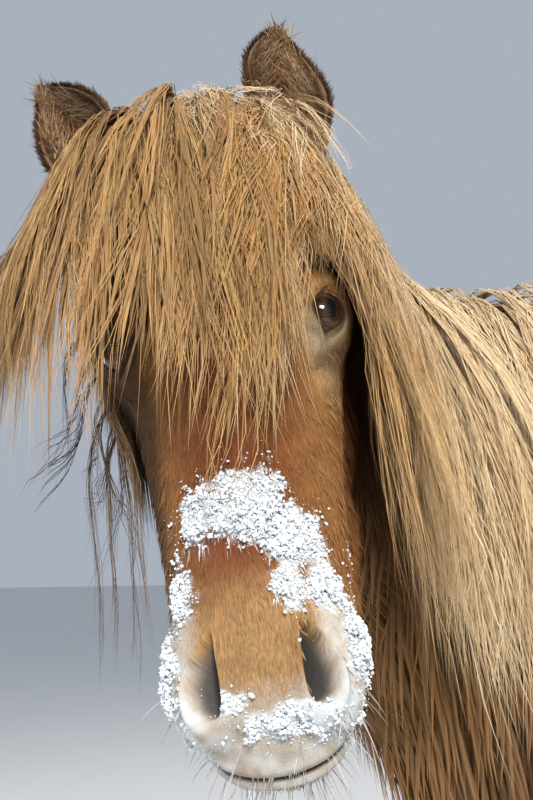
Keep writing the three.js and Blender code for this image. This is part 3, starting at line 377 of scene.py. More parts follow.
def snow_cover(q):
    """How much snow lies at each place of the head: the deepest of the patches, each a bell."""
    cover = np.zeros(len(q))
    for at, reach, amount in SNOW:
        cover = np.maximum(cover, amount * np.exp(-np.sum(((q - at) / reach) ** 2, axis=1)))
    return cover


def ragged_snow(p):
    """Snow cover at places of the body, broken up by fine and coarse noise."""
    fine, coarse = mottle(p, 0.007, 3), mottle(p, 0.02, 5)
    return snow_cover(to_head(p)) + 0.55 * (fine - 0.5) + 0.4 * (coarse - 0.5)


# The flesh: rods and ellipsoids with the depth of coat over each
TORSO = [
    dict(a=(0, -0.3, 1.01), b=(0, 0.22, 1.005), ra=0.28, rb=0.282, k=0.09, coat=0.03, narrow=0.87),
    dict(a=(0, -0.425, WITHERS - 0.112), b=(0, -0.17, WITHERS - 0.15), ra=0.108, rb=0.096,
         k=0.11, coat=0.022, narrow=0.75),
    dict(a=(0, 0.33, 1.105), b=(0, 0.54, 1.075), ra=0.232, rb=0.19, k=0.1, coat=0.028),
    dict(a=(0, -0.35, 0.955), b=(0, -0.538, 0.955), ra=0.215, rb=0.176, k=0.08, coat=0.038, narrow=0.93),
    dict(a=(0, -0.06, 0.87), b=(0, 0.13, 0.88), ra=0.19, rb=0.175, k=0.11, coat=0.038, narrow=1.12),
    dict(a=(0, -0.56, 0.985), b=(0.026, -0.82, 1.12), ra=0.135, rb=0.074, k=0.07, coat=0.046),
    dict(a=(0.09, -0.4, 1.19), b=(0.118, -0.56, 0.96), ra=0.088, rb=0.084, k=0.07, coat=0.028, both=True),
    dict(a=(0.112, -0.385, 0.93), b=(0.132, -0.395, 0.8), ra=0.098, rb=0.07, k=0.07, coat=0.024, both=True),
    dict(a=(0.115, 0.48, 1.13), b=(0.125, 0.585, 0.96), ra=0.148, rb=0.116, k=0.08, coat=0.026, both=True),
    dict(a=(0.13, 0.4, 1.02), b=(0.14, 0.395, 0.88), ra=0.12, rb=0.092, k=0.08, coat=0.026, both=True),
    dict(a=(0.095, 0.59, 1.08), b=(0.11, 0.612, 0.9), ra=0.108, rb=0.082, k=0.07, coat=0.024, both=True),
    dict(a=(0, 0.59, 1.15), b=(0, 0.77, 1.192), ra=0.07, rb=0.034, k=0.06, coat=0.012),
]
DOCK = [
    dict(a=(0, 0.66, 1.2), b=(0, 0.775, 1.186), ra=0.034, rb=0.038, k=0.03, coat=0.0),
    dict(a=(0, 0.775, 1.186), b=(0, 0.836, 1.085), ra=0.038, rb=0.034, k=0.03, coat=0.0),
    dict(a=(0, 0.836, 1.085), b=(0, 0.846, 0.88), ra=0.034, rb=0.024, k=0.03, coat=0.0),
]


def fore_leg(step):
    """Rods of the left fore leg, its foot moved fore or aft by step."""
    x = FORE_TRACK
    y = -0.425 + step
    return [
        dict(a=(x, -0.4, 0.82), b=(x, (y - 0.4) / 2, 0.64), ra=0.076, rb=0.054, k=0.06, coat=0.018),
        dict(a=(x, (y - 0.4) / 2, 0.64), b=(x, y, 0.455), ra=0.054, rb=0.038, k=0.03, coat=0.012),
        dict(a=(x, y - 0.006, 0.452), b=(x, y - 0.004, 0.42), ra=0.042, rb=0.038, k=0.025, coat=0.009),
        dict(a=(x, y - 0.002, 0.41), b=(x, y - 0.006, 0.215), ra=0.027, rb=0.025, k=0.022, coat=0.009),
        dict(a=(x, y + 0.02, 0.4), b=(x, y + 0.02, 0.22), ra=0.017, rb=0.019, k=0.016, coat=0.009),
        dict(a=(x, y - 0.002, 0.2), b=(x, y + 0.008, 0.192), ra=0.034, rb=0.032, k=0.022, coat=0.01),
        dict(a=(x, y - 0.002, 0.19), b=(x, y - 0.034, 0.1), ra=0.028, rb=0.034, k=0.022, coat=0.009),
        dict(a=(x, y - 0.034, 0.1), b=(x, y - 0.042, 0.066), ra=0.034, rb=0.038, k=0.014, coat=0.007),
    ]


def hind_leg(step):
    """Rods of the left hind leg, its foot moved fore or aft by step."""
    x = HIND_TRACK
    y = 0.612 + step
    return [
        dict(a=(x, 0.42, 0.9), b=(x + 0.004, 0.5, 0.7), ra=0.104, rb=0.066, k=0.07, coat=0.02),
        dict(a=(x, 0.58, 0.88), b=(x, 0.59, 0.7), ra=0.08, rb=0.042, k=0.06, coat=0.018),
        dict(a=(x + 0.004, 0.5, 0.7), b=(x, y - 0.01, 0.545), ra=0.066, rb=0.038, k=0.04, coat=0.014),
        dict(a=(x, 0.592, 0.7), b=(x, y + 0.042, 0.56), ra=0.034, rb=0.024, k=0.03, coat=0.01),
        dict(a=(x, y - 0.008, 0.545), b=(x, y + 0.002, 0.485), ra=0.042, rb=0.037, k=0.026, coat=0.009),
        dict(a=(x, y + 0.04, 0.558), b=(x, y + 0.022, 0.48), ra=0.022, rb=0.022, k=0.022, coat=0.009),
        dict(a=(x, y, 0.48), b=(x, y - 0.008, 0.225), ra=0.031, rb=0.027, k=0.022, coat=0.009),
        dict(a=(x, y + 0.022, 0.47), b=(x, y + 0.018, 0.23), ra=0.018, rb=0.019, k=0.016, coat=0.009),
        dict(a=(x, y - 0.008, 0.205), b=(x, y + 0.002, 0.196), ra=0.035, rb=0.033, k=0.022, coat=0.01),
        dict(a=(x, y - 0.008, 0.192), b=(x, y - 0.038, 0.1), ra=0.029, rb=0.035, k=0.022, coat=0.009),
        dict(a=(x, y - 0.038, 0.1), b=(x, y - 0.046, 0.066), ra=0.035, rb=0.038, k=0.014, coat=0.007),
    ]


LEGS = dict(front_left=(fore_leg(-0.025), 1), front_right=(fore_leg(0.012), -1),
            hind_left=(hind_leg(0.03), 1), hind_right=(hind_leg(-0.03), -1))
NECK = [
    dict(at=(0, -0.44, 1.122), half=0.224, narrow=0.6),
    dict(at=(-0.012, -0.62, 1.14), half=0.184, narrow=0.58),
    dict(at=(0, -0.77, 1.184), half=0.148, narrow=0.6),
    dict(at=(0.034, -0.89, 1.252), half=0.127, narrow=0.64),
    dict(at=(0.084, -0.972, 1.318), half=0.118, narrow=0.64),
]
NECK_COAT = 0.032
NECK_FILLET = 0.06
NECK_SHRINK = 0.82  # makes up for the squeeze, which stretches distances sideways
HEAD = [
    dict(c=(0, -0.074, 0.074), r=(0.074, 0.07, 0.084), k=0.04, coat=0.012),
    dict(c=(0, -0.056, 0.132), r=(0.088, 0.058, 0.108), k=0.04, coat=0.01),
    dict(a=(0, -0.048, 0.19), b=(0, -0.038, 0.44), ra=0.048, rb=0.031, k=0.034, coat=0.006),
    dict(a=(0.048, -0.084, 0.215), b=(0.032, -0.064, 0.43), ra=0.042, rb=0.034,
         k=0.034, coat=0.009, both=True),
    dict(c=(0.054, -0.15, 0.172), r=(0.04, 0.092, 0.104), k=0.036, coat=0.02, both=True),
    dict(a=(0.05, -0.175, 0.225), b=(0.034, -0.116, 0.425), ra=0.04, rb=0.032,
         k=0.034, coat=0.022, both=True),
    dict(c=(0.08, -0.042, 0.198), r=(0.031, 0.036, 0.046), k=0.026, coat=0.004, both=True),
    dict(a=(0.076, -0.074, 0.225), b=(0.056, -0.074, 0.318), ra=0.011, rb=0.008,
         k=0.022, coat=0.006, both=True),
    dict(c=(0, -0.054, 0.474), r=(0.054, 0.044, 0.066), k=0.03, coat=0.004),
    dict(c=(0.042, -0.038, 0.488), r=(0.026, 0.028, 0.044), k=0.018, coat=0.003, both=True),
    dict(c=(0, -0.066, 0.53), r=(0.046, 0.028, 0.028), k=0.018, coat=0.003),
    dict(c=(0, -0.108, 0.518), r=(0.036, 0.026, 0.036), k=0.018, coat=0.006),
]
HEAD_FILLET = 0.046  # where the head meets the neck
HEAD_EGG = dict(c=np.array([0, -0.1, 0.26]), r=np.array([0.15, 0.19, 0.33]), reach=0.12)


def rod(p, a, b, ra, rb):
    """Distance from each point to a cone with round ends, of radius ra at a and rb at b."""
    ba = b - a
    l2 = ba @ ba
    rr = ra - rb
    a2 = l2 - rr * rr
    pa = p - a
    y = pa @ ba
    z = y - l2
    x2 = np.sum((pa * l2 - ba * y[:, None]) ** 2, axis=1)
    y2 = y * y * l2
    z2 = z * z * l2
    k = np.sign(rr) * rr * rr * x2
    beyond_b = np.sign(z) * a2 * z2 > k
    before_a = np.sign(y) * a2 * y2 < k
    side = (np.sqrt(x2 * a2 / l2) + y * rr) / l2 - ra
    side = np.where(before_a, np.sqrt(x2 + y2) / l2 - ra, side)
    return np.where(beyond_b, np.sqrt(x2 + z2) / l2 - rb, side)


def egg(p, c, r):
    """Distance, nearly, from each point to an ellipsoid."""
    d = p - c
    k0 = np.linalg.norm(d / r, axis=1)
    k1 = np.linalg.norm(d / (r * r), axis=1)
    return k0 * (k0 - 1) / np.maximum(k1, 1e-9)


def blended(a, b, k):
    """The lesser of two distances, with a fillet of about k where they meet."""
    h = np.maximum(k - np.abs(a - b), 0) / k
    return np.minimum(a, b) - h * h * k * 0.25


def rods_distance(p, rods, side, coat, d):
    """Distance to a list of rods: side 0 mirrors those on both sides, and 1 or -1 those of one leg."""
    folded = np.column_stack([np.abs(p[:, 0]) if side == 0 else p[:, 0] * side, p[:, 1:]])
    for one in rods:
        q = folded if side or one.get("both") else p
        narrow = one.get("narrow", 1.0)
        squeeze = np.array([1 / narrow, 1, 1])
        a, b = np.array(one["a"]) * squeeze, np.array(one["b"]) * squeeze
        shape = rod(q * squeeze, a, b, one["ra"], one["rb"])
        d = blended(d, shape * min(1.0, narrow) - coat * one["coat"], one["k"])
    return d


def neck_distance(p, coat, d):
    """Distance to the neck: rods squeezed sideways across the line that they follow."""
    for one, two in zip(NECK[:-1], NECK[1:]):
        a, b = np.array(one["at"], float), np.array(two["at"], float)
        across = unit(np.cross(b - a, (0, 0, 1)))
        grow = 2 / (one["narrow"] + two["narrow"]) - 1
        q = p + across * (((p - a) @ across) * grow)[:, None]
        far = b + across * ((b - a) @ across) * grow
        shape = rod(q, a, far, one["half"], two["half"]) * NECK_SHRINK
        d = blended(d, shape - coat * NECK_COAT, NECK_FILLET)
    return d


def head_distance(p, coat):
    """Distance to the head, worked out in its own frame, or far off to an egg round it."""
    q = to_head(p)
    d = egg(q, HEAD_EGG["c"], HEAD_EGG["r"])
    near = d < HEAD_EGG["reach"]
    q = q[near]
    folded = np.column_stack([np.abs(q[:, 0]), q[:, 1:]])
    best = None
    for one in HEAD:
        at = folded if one.get("both") else q
        if "c" in one:
            shape = egg(at, np.array(one["c"]), np.array(one["r"]))
        else:
            shape = rod(at, np.array(one["a"]), np.array(one["b"]), one["ra"], one["rb"])
        shape = shape - coat * one["coat"]
        best = shape if best is None else blended(best, shape, one["k"])
    d[near] = best
    return d


FAR = 1.0
PARTS = dict(
    torso=dict(low=(-0.42, -0.9, 0.56), high=(0.42, 0.9, 1.46)),
    front_left=dict(low=(-0.04, -0.7, -0.05), high=(0.32, -0.15, 1.05)),
    front_right=dict(low=(-0.32, -0.7, -0.05), high=(0.04, -0.15, 1.05)),
    hind_left=dict(low=(-0.04, 0.25, -0.05), high=(0.34, 0.85, 1.1)),
    hind_right=dict(low=(-0.34, 0.25, -0.05), high=(0.04, 0.85, 1.1)),
    neck=dict(low=(-0.3, -1.2, 0.82), high=(0.4, -0.15, 1.56)),
    head=dict(low=(-0.1, -1.36, 0.8), high=(0.6, -0.7, 1.62)),
    dock=dict(low=(-0.12, 0.6, 0.8), high=(0.12, 0.96, 1.3)),
)
COATED_PARTS = tuple(PARTS)[:-1]  # all but the dock, which the tail covers


def part_distance(p, part, coat, d):
    """One part's distance, joined on to d."""
    if part == "torso":
        return rods_distance(p, TORSO, 0, coat, d)
    if part == "neck":
        return neck_distance(p, coat, d)
    if part == "head":
        return blended(d, head_distance(p, coat), HEAD_FILLET)
    if part == "dock":
        return rods_distance(p, DOCK, 1, coat, d)
    rods, side = LEGS[part]
    return rods_distance(p, rods, side, coat, d)


def flesh(p, coat=0.0, parts=tuple(PARTS)):
    """Signed distance to the skin with coat 0, and to the tips of the coat with coat 1."""
    d = np.full(len(p), FAR)
    for part in parts:
        box = PARTS[part]
        near = np.all((p > box["low"]) & (p < box["high"]), axis=1)
        if near.any():
            d[near] = part_distance(p[near], part, coat, d[near])
    return d


def coated(p):
    """Signed distance to the outside of the coat, without the dock."""
    return flesh(p, 1.0, COATED_PARTS)


def slope(p, field, step=0.0008):
    """The field's value and its gradient, from one step along each axis."""
    d = field(p)
    return d, np.column_stack([(field(p + step * axis) - d) / step for axis in np.eye(3)])


def drawn_to(p, field, rounds=3):
    """Points moved on to the field's zero surface by Newton's steps along its gradient."""
    for _ in range(rounds):
        d, g = slope(p, field)
        p = p - g * np.clip(d / np.maximum(np.sum(g * g, axis=1), 0.2), -0.02, 0.02)[:, None]
    return p


# Skin mesh
BLOCK = 4


def sampled(field, low, high, cell):
    """The field on a grid. Only blocks of BLOCK cells near the surface are worked out at each point."""
    blocks = np.ceil((high - low) / (cell * BLOCK)).astype(int)
    middle = np.stack(np.meshgrid(*[np.arange(n) for n in blocks], indexing="ij"), -1).reshape(-1, 3)
    coarse = field(low + (middle * BLOCK + (BLOCK - 1) / 2) * cell).reshape(blocks)
    value = coarse.repeat(BLOCK, 0).repeat(BLOCK, 1).repeat(BLOCK, 2)
    close = np.abs(value) < BLOCK * cell * 1.5
    place = np.argwhere(close)
    value[close] = field(low + place * cell)
    return value


def net(value, low, cell):
    """Quads round the zero surface: one point per crossed cell, at the mean of its edges' crossings."""
    inside = value < 0
    count = np.zeros(np.array(value.shape) - 1)
    total = np.zeros((*count.shape, 3))
    for axis in range(3):
        others = [i for i in range(3) if i != axis]
        for near in ((0, 0), (0, 1), (1, 0), (1, 1)):
            start = np.zeros(3, int)
            start[others] = near
            end = start.copy()
            end[axis] = 1
            a, b = [value[tuple(slice(s, s + n) for s, n in zip(at, count.shape))] for at in (start, end)]
            crossed = (a < 0) != (b < 0)
            part = np.where(crossed, a / np.where(crossed, a - b, 1), 0)
            for i in range(3):
                total[..., i] += crossed * start[i] + (part if i == axis else 0)
            count += crossed
    used = count > 0
    index = np.full(count.shape, -1)
    index[used] = np.arange(used.sum())
    points = low + (np.argwhere(used) + total[used] / count[used][:, None]) * cell
    quads = []
    for axis in range(3):
        order = (axis, (axis + 1) % 3, (axis + 2) % 3)
        one = inside.transpose(order)
        cells = index.transpose(order)
        i, j, k = np.nonzero(one[:-1, 1:-1, 1:-1] != one[1:, 1:-1, 1:-1])
        j, k = j + 1, k + 1
        quad = np.stack([cells[i, j - 1, k - 1], cells[i, j, k - 1], cells[i, j, k], cells[i, j - 1, k]], 1)
        outward = one[i, j, k]
        quads.append(np.where(outward[:, None], quad, quad[:, ::-1]))
    return points, np.concatenate(quads)


def split_quads(points, quads):
    """Two triangles for each quad, across its shorter diagonal."""
    one = np.linalg.norm(points[quads[:, 0]] - points[quads[:, 2]], axis=1)
    two = np.linalg.norm(points[quads[:, 1]] - points[quads[:, 3]], axis=1)
    turned = np.where((one <= two)[:, None], quads, np.roll(quads, 1, axis=1))
    return np.concatenate([turned[:, [0, 1, 2]], turned[:, [0, 2, 3]]])


def refined(points, faces, wanted):
    """Marked triangles split in four at their edges' middles, and neighbours in two or three to match."""
    ends = np.sort(np.stack([faces, np.roll(faces, -1, axis=1)], -1), axis=-1)
    key = ends[..., 0] * len(points) + ends[..., 1]
    marked = np.unique(key[wanted])
    middle = (points[marked // len(points)] + points[marked % len(points)]) / 2
    rank = np.minimum(np.searchsorted(marked, key), len(marked) - 1)
    cut = marked[rank] == key
    middle_of = np.where(cut, rank + len(points), -1)
    done = [faces[~cut.any(axis=1)]]
    for pattern, pieces in (((1, 0, 0), ("0a2", "a12")), ((1, 1, 0), ("0ab", "a1b", "0b2")),
                            ((1, 1, 1), ("0ac", "a1b", "cb2", "abc"))):
        for turn in range(1 if all(pattern) else 3):
            same = np.all(cut == np.roll(pattern, turn), axis=1)
            corners = np.roll(faces[same], -turn, axis=1)
            middles = np.roll(middle_of[same], -turn, axis=1)
            names = dict(zip("012abc", (*corners.T, *middles.T)))
            done += [np.stack([names[letter] for letter in piece], 1) for piece in pieces]
    return np.concatenate([points, middle]), np.concatenate(done)


def mottle(p, size, seed=0):
    """Smooth noise from 0 to 1: random numbers on a lattice of the given size, blended between corners."""
    q = p / size + 17.31 * (seed + 1)
    cell = np.floor(q).astype(np.int64)
    f = q - cell
    f = f * f * (3 - 2 * f)
    total = np.zeros(len(p))
    for corner in np.ndindex(2, 2, 2):
        i, j, k = (cell + corner).T
        number = (i * 73856093) ^ (j * 19349663) ^ (k * 83492791)
        number = ((number & 0xFFFFFF) * 2654435761 >> 9) & 0xFFFF
        total += np.prod(np.where(corner, f, 1 - f), axis=1) * number / 65535
    return total


# Eyes, nostrils and mouth in the head's frame; side is 1 on the left
EYE = dict(at=np.array([0.0812, -0.0232, 0.2166]), radius=0.0205, long=0.018, high=0.014, hump=0.0011)
NOSTRIL = dict(at=np.array([0.0405, -0.006, 0.489]), long=0.0275, high=0.0078, lean=radians(16))
MOUTH = dict(at=np.array([0, -0.077, 0.503]), reach=np.array([0.058, 0.064]), slope=radians(-27))
EYE_CLEAR = (0.09, 0.222)  # the left eye's place across and down the face, which long hair keeps clear


def mirrored(v, side):
    """A vector of the head's frame on the given side."""
    return np.array([v[0] * side, v[1], v[2]])


def eye_frame(side):
    """Centre of the ball, the opening's long and short directions, and the way it looks."""
    look = unit(mirrored(np.array([0.58, 0.79, 0.17]), side))
    drop = np.array([0, 0.1, 0.99])
    long = unit(drop - look * (look @ drop))
    return mirrored(EYE["at"], side), long, np.cross(look, long), look


def nostril_frame(side):
    """Middle of the opening, its long and short directions, and the way out of the face."""
    long = mirrored(np.array([sin(NOSTRIL["lean"]), 0, cos(NOSTRIL["lean"])]), side)
    out = unit(mirrored(np.array([0.62, 0.74, 0.25]), side))
    out = unit(out - long * (out @ long))
    return mirrored(NOSTRIL["at"], side), long, np.cross(out, long), out


def local(q, box):
    """Places of the head's frame along an opening's own directions, from its middle."""
    centre, long, short, out = box
    return (q - centre) @ np.array([long, short, out]).T


def eye_measure(q, side):
    """Below 1 inside the almond: the square of the place along it plus the place across it, as shares."""
    a, b, c = local(q, eye_frame(side)).T
    measure = (a / EYE["long"]) ** 2 + np.abs(b) / EYE["high"]
    return np.where(c > 0, measure, 9.0), c


def nostril_measure(q, side):
    """Below 1 inside the opening, which is wider at its lower end."""
    a, b, c = local(q, nostril_frame(side)).T
    wide = NOSTRIL["high"] * (1 + 0.55 * np.clip(a / NOSTRIL["long"], -1, 1))
    measure = np.sqrt((a / NOSTRIL["long"]) ** 2 + (b / wide) ** 2)
    return np.where(c > -0.03, measure, 9.0)


def mouth_measure(q):
    """Distance from the mouth's plane, and how far back from the front of the lips, as a share."""
    d = q - MOUTH["at"]
    level = d[:, 1] * cos(MOUTH["slope"]) + d[:, 2] * sin(MOUTH["slope"])
    along = d[:, 2] * cos(MOUTH["slope"]) - d[:, 1] * sin(MOUTH["slope"])
    share = np.sqrt((d[:, 0] / MOUTH["reach"][0]) ** 2 + (along / MOUTH["reach"][1]) ** 2)
    return level, np.where(along > -0.045, share, 9.0)


def features(p):
    """Distance, roughly, from each point to the nearest edge of an eye, a nostril or the mouth."""
    q = to_head(p)
    best = np.full(len(p), 9.0)
    for side in (1, -1):
        best = np.minimum(best, np.maximum(eye_measure(q, side)[0] - 1.5, 0) * 0.02)
        best = np.minimum(best, np.maximum(nostril_measure(q, side) - 1.2, 0) * 0.02)
    level, share = mouth_measure(q)
    return np.minimum(best, np.maximum(np.abs(level) - 0.004, 0) + 0.1 * np.maximum(share - 1.0, 0))


def sculpted(points, normal):
    """The skin sunk behind each eyeball, drawn in to each nostril with a raised wing round it, and creased
    along the mouth with the lips standing beside it."""
    q = to_head(points)
    n = normal @ HEAD_AXES.T
    for side in (1, -1):
        look = eye_frame(side)[3]
        measure, c = eye_measure(q, side)
        q = q - look * (smooth(1.7, 1.05, measure) * np.maximum(c + 0.002, 0))[:, None]
        measure = nostril_measure(q, side)
        outer = 0.6 + 0.4 * smooth(0.03, 0.06, q[:, 0] * side)
        wing = 0.0052 * outer * np.exp(-(((measure - 1.25) / 0.26) ** 2)) * (measure < 3)
        pit = 0.034 * smooth(1.05, 0.35, measure)
        q = q + nostril_frame(side)[3] * (wing - pit)[:, None]
    level, share = mouth_measure(q)
    here = smooth(1.12, 0.92, share) * (np.abs(level) < 0.03)
    groove = -0.006 * np.exp(-((level / 0.0017) ** 2))
    lips = 0.0022 * np.exp(-(((np.abs(level) - 0.008) / 0.004) ** 2))
    return from_head(q + n * ((groove + lips) * here)[:, None])


def nostril_shade(q):
    """1 inside the nostrils, falling to 0 at their rims."""
    return np.maximum(*[smooth(1.0, 0.72, nostril_measure(q, side)) for side in (1, -1)])


def mouth_shade(q):
    """1 along the line between the lips, falling to 0 beside it."""
    level, share = mouth_measure(q)
    return smooth(0.0036, 0.0012, np.abs(level)) * smooth(1.1, 0.95, share)


def bare(p):
    """True where no tuft grows: inside the eyes, the nostrils and the mouth."""
    q = to_head(p)
    level, share = mouth_measure(q)
    bald = (np.abs(level - 0.003) < 0.007) & (share < 1.1)
    for side in (1, -1):
        bald |= eye_measure(q, side)[0] < 1.5
        bald |= nostril_measure(q, side) < 1.35
    return bald


# Markings, shared by the skin and the coat, with painted shade in the dark mask over the far cheek
def markings(p):
    """Masks from 0 to 1 at points of the body: red, pale, dark and frost. The dark mask also paints shade
    over the far (right) cheek.
    """
    u, v, w = to_head(p).T
    on_head = smooth(0.05, 0.0, head_distance(p, 0.0))
    patch = mottle(p, 0.05, 1)
    fine = mottle(p, 0.007, 3)
    centre = np.exp(-((u / 0.056) ** 2)) * smooth(0.13, 0.22, w) * smooth(0.455, 0.4, w)
    jaw = smooth(-0.1, -0.16, v) * smooth(0.46, 0.36, w)
    cheek = 0.35 * smooth(0.06, 0.1, np.abs(u)) * smooth(0.22, 0.34, w) * smooth(0.46, 0.38, w)
    rims = smooth(0.036, 0.052, np.abs(u)) * smooth(0.42, 0.47, w)
    muzzle = 0.18 * smooth(0.41, 0.46, w) + 0.35 * smooth(0.49, 0.52, w) + 0.3 * rims
    # Painted shade: the far (right) cheek, turned from the key light, is darkened, and the pale under the
    # eye is kept to the left side
    far_cheek_shade = smooth(-0.052, -0.072, u) * smooth(0.15, 0.2, w) * smooth(0.47, 0.4, w)
    under_eye = 0.45 * np.exp(-(((w - 0.252) / 0.02) ** 2))
    under_eye = under_eye * smooth(0.06, 0.08, u) * smooth(-0.09, -0.05, v)
    throat = 0.5 * smooth(-0.13, -0.2, v) * smooth(0.1, 0.2, w)
    rime = 0.52 * smooth(0.492, 0.525, w) + 0.5 * rims
    head = dict(
        red=1.05 * centre + 0.75 * jaw + cheek + 0.25 * (patch - 0.3),
        pale=muzzle + under_eye + 0.15 * (patch - 0.5),
        dark=throat + 0.28 * smooth(0.495, 0.525, w) + 0.75 * far_cheek_shade,
        frost=0.95 * smooth(0.42, 0.62, ragged_snow(p)) + rime * (0.3 + 1.1 * fine),
    )
    low = smooth(0.75, 0.35, p[:, 2])
    belly = smooth(0.86, 0.7, p[:, 2]) * (1 - low)
    neck = smooth(-0.45, -0.65, p[:, 1])
    body = dict(
        red=0.22 + 0.3 * patch - 0.1 * belly - 0.2 * neck,
        pale=0.12 * patch + 0.08 * belly,
        dark=0.16 + 0.3 * low + 0.3 * (patch - 0.5) + 0.08 * neck,
        frost=0.0,
    )
    return {key: on_head * held(head[key]) + (1 - on_head) * held(body[key]) for key in head}


# Meshes
def make_piece(name, points, faces, finish, marks=None, uv=None, rounded=True):
    """A mesh from points in the body's frame and a list of face arrays, with an attribute for each mark."""
    loops = np.concatenate([f.ravel() for f in faces])
    sides = np.concatenate([np.full(len(f), f.shape[1]) for f in faces])
    mesh = bpy.data.meshes.new(name)
    mesh.vertices.add(len(points))
    mesh.vertices.foreach_set("co", (points - ORIGIN).astype(np.float32).ravel())
    mesh.loops.add(len(loops))
    mesh.loops.foreach_set("vertex_index", loops.astype(np.int32))
    mesh.polygons.add(len(sides))
    mesh.polygons.foreach_set("loop_start", np.concatenate([[0], np.cumsum(sides)[:-1]]).astype(np.int32))
    mesh.polygons.foreach_set("use_smooth", np.full(len(sides), rounded))
    for key, value in (marks or {}).items():
        kind, field = ("FLOAT", "value") if value.ndim == 1 else ("FLOAT_VECTOR", "vector")
        mesh.attributes.new(key, kind, "POINT").data.foreach_set(field, value.astype(np.float32).ravel())
    if uv is not None:
        layer = mesh.uv_layers.new(name="OFBake")
        layer.uv.foreach_set("vector", uv[loops].astype(np.float32).ravel())
    mesh.update(calc_edges=True)
    mesh.materials.append(finish)
    piece = bpy.data.objects.new(name, mesh)
    bpy.context.scene.collection.objects.link(piece)
    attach(piece, "root")
    return piece


def grid_faces(rows, columns):
    """Quads between neighbours of a grid whose rows close on themselves."""
    i = np.arange(rows - 1)[:, None] * columns
    j = np.arange(columns)[None, :]
    k = (j + 1) % columns
    return vectors(i + j, i + k, i + columns + k, i + columns + j).reshape(-1, 4)


def repeated(faces, count, size):
    """The faces of `count` like shapes that have `size` points each."""
    start = (np.arange(count) * size)[:, None, None]
    return (faces[None] + start).reshape(-1, faces.shape[1])


# Hair. A section is seen from the tip: x across the hair, and y above its path.
STRAND_SECTION = np.array([[1.0, 0.0], [-1.0, 0.0], [0.0, 1.0]])
LOCK_SECTION = np.array([[1.0, 0.0], [0.55, -0.5], [-0.55, -0.5], [-1.0, 0.0], [-0.5, 0.8], [0.5, 0.8]])
STRAND = 0.0011  # width of the strands in a tuft's pattern
STRAND_LENGTH = 0.03  # and how far it is drawn out along the tuft
PATCH = (0.0014, 0.003)  # half the width and the whole length of a tuft's patch in the OFBake map
FLOOR_GAP = 0.002  # hair ends this far above the floor


def swept(path, up, width, thick, taper, section):
    """The section's corners at each step of each path, scaled by width, thickness and the taper there."""
    count, steps = path.shape[:2]
    along = unit(np.gradient(path, axis=1))
    across = unit(np.cross(along, up))
    above = np.cross(across, along)
    rings = steps - 1
    w = (width[:, None] * taper / 2)[..., None, None] * section[:, :1]
    h = (thick[:, None] * taper)[..., None, None] * section[:, 1:]
    corners = path[:, :rings, None] + across[:, :rings, None] * w + above[:, :rings, None] * h
    return corners.reshape(count, rings * len(section), 3)


def swept_faces(count, rings, sides):
    """Quads along the sides of each hair, a fan of triangles to its tip and one over its root."""
    size = rings * sides + 1
    last = (rings - 1) * sides
    ends = [[last + i, last + (i + 1) % sides, size - 1] for i in range(sides)]
    ends += [[0, i + 1, i] for i in range(1, sides - 1)]
    return [repeated(faces, count, size) for faces in (grid_faces(rings, sides), np.array(ends))]


def make_hair(name, path, up, width, flatness, place, finish, marks, taper=None, section=STRAND_SECTION):
    """A piece of many hairs, each `flatness` as thick as wide, with its own patch of the OFBake map at its
    root's place on the unwrapped skin. A mark is a value for each hair, or one number for all."""
    count, steps = path.shape[:2]
    rings, sides = steps - 1, len(section)
    t = np.arange(rings) / rings
    if taper is None:
        taper = (0.55 + 0.45 * np.minimum(1, 4 * t)) * (1 - 0.65 * t ** 1.7)
    body = swept(path, up, width, width * flatness, taper, section)
    points = np.concatenate([body, path[:, -1:]], axis=1)
    points[..., 2] = np.maximum(points[..., 2], FLOOR_GAP)
    along = np.append(np.repeat(t, sides), 1.0)
    across = np.append(np.tile(section[:, 0], rings), 0.0)
    patch = vectors(across * PATCH[0], (along - 0.5) * PATCH[1])
    uv = np.clip(place[:, None, :] + patch, 0.001, 0.999).reshape(-1, 2)
    each = rings * sides + 1
    full = {key: np.repeat(np.broadcast_to(value, count), each) for key, value in marks.items()}
    full["along"] = np.tile(along, count)
    length = np.linalg.norm(np.diff(path, axis=1), axis=2).sum(axis=1)
    seed = rng.uniform(0, 90, (count, 1))
    side, down = across * (width / 2 / STRAND)[:, None], along * (length / STRAND_LENGTH)[:, None]
    full["strand"] = vectors(side + seed, down + seed, seed).reshape(-1, 3)
    faces = swept_faces(count, rings, sides)
    make_piece(name, points.reshape(-1, 3), faces, finish, full, uv, rounded=sides > 3)


def draped(root, start, length, lift, pull, steps=30, turn=0.16, field=coated):
    """Walks from each root, with every second step kept: the way turns towards pull(p, t), and past the
    root the walk stays `lift` outside the field's surface."""
    p = root.copy()
    way = unit(start)
    stride = (length / steps)[:, None]
    path = [p]
    out = [unit(slope(p, field)[1])]
    for i in range(1, steps + 1):
        t = i / steps
        way = unit(way + pull(p, t) * turn)
        p = p + way * stride
        d, n = slope(p, field)
        n = unit(n)
        short = (np.minimum(lift, lift * (t * 5 - 0.35)) - d)[:, None]
        push = np.clip(short, 0, stride * 0.9) * (t > 0.08)
        p = p + n * push
        way = np.where(push > 0, unit(way - n * np.minimum(0, dots(way, n))), way)
        if i % 2 == 0:
            path.append(p)
            out.append(n)
    return np.stack(path, 1), np.stack(out, 1)


def resampled(path, part, steps):
    """Each path cut to the given part of its length, at `steps` even places."""
    x = np.linspace(0, 1, steps)[None, :] * part[:, None] * (path.shape[1] - 1)
    i = np.minimum(x.astype(int), path.shape[1] - 2)
    f = (x - i)[..., None]
    row = np.arange(len(path))[:, None]
    return path[row, i] * (1 - f) + path[row, i + 1] * f


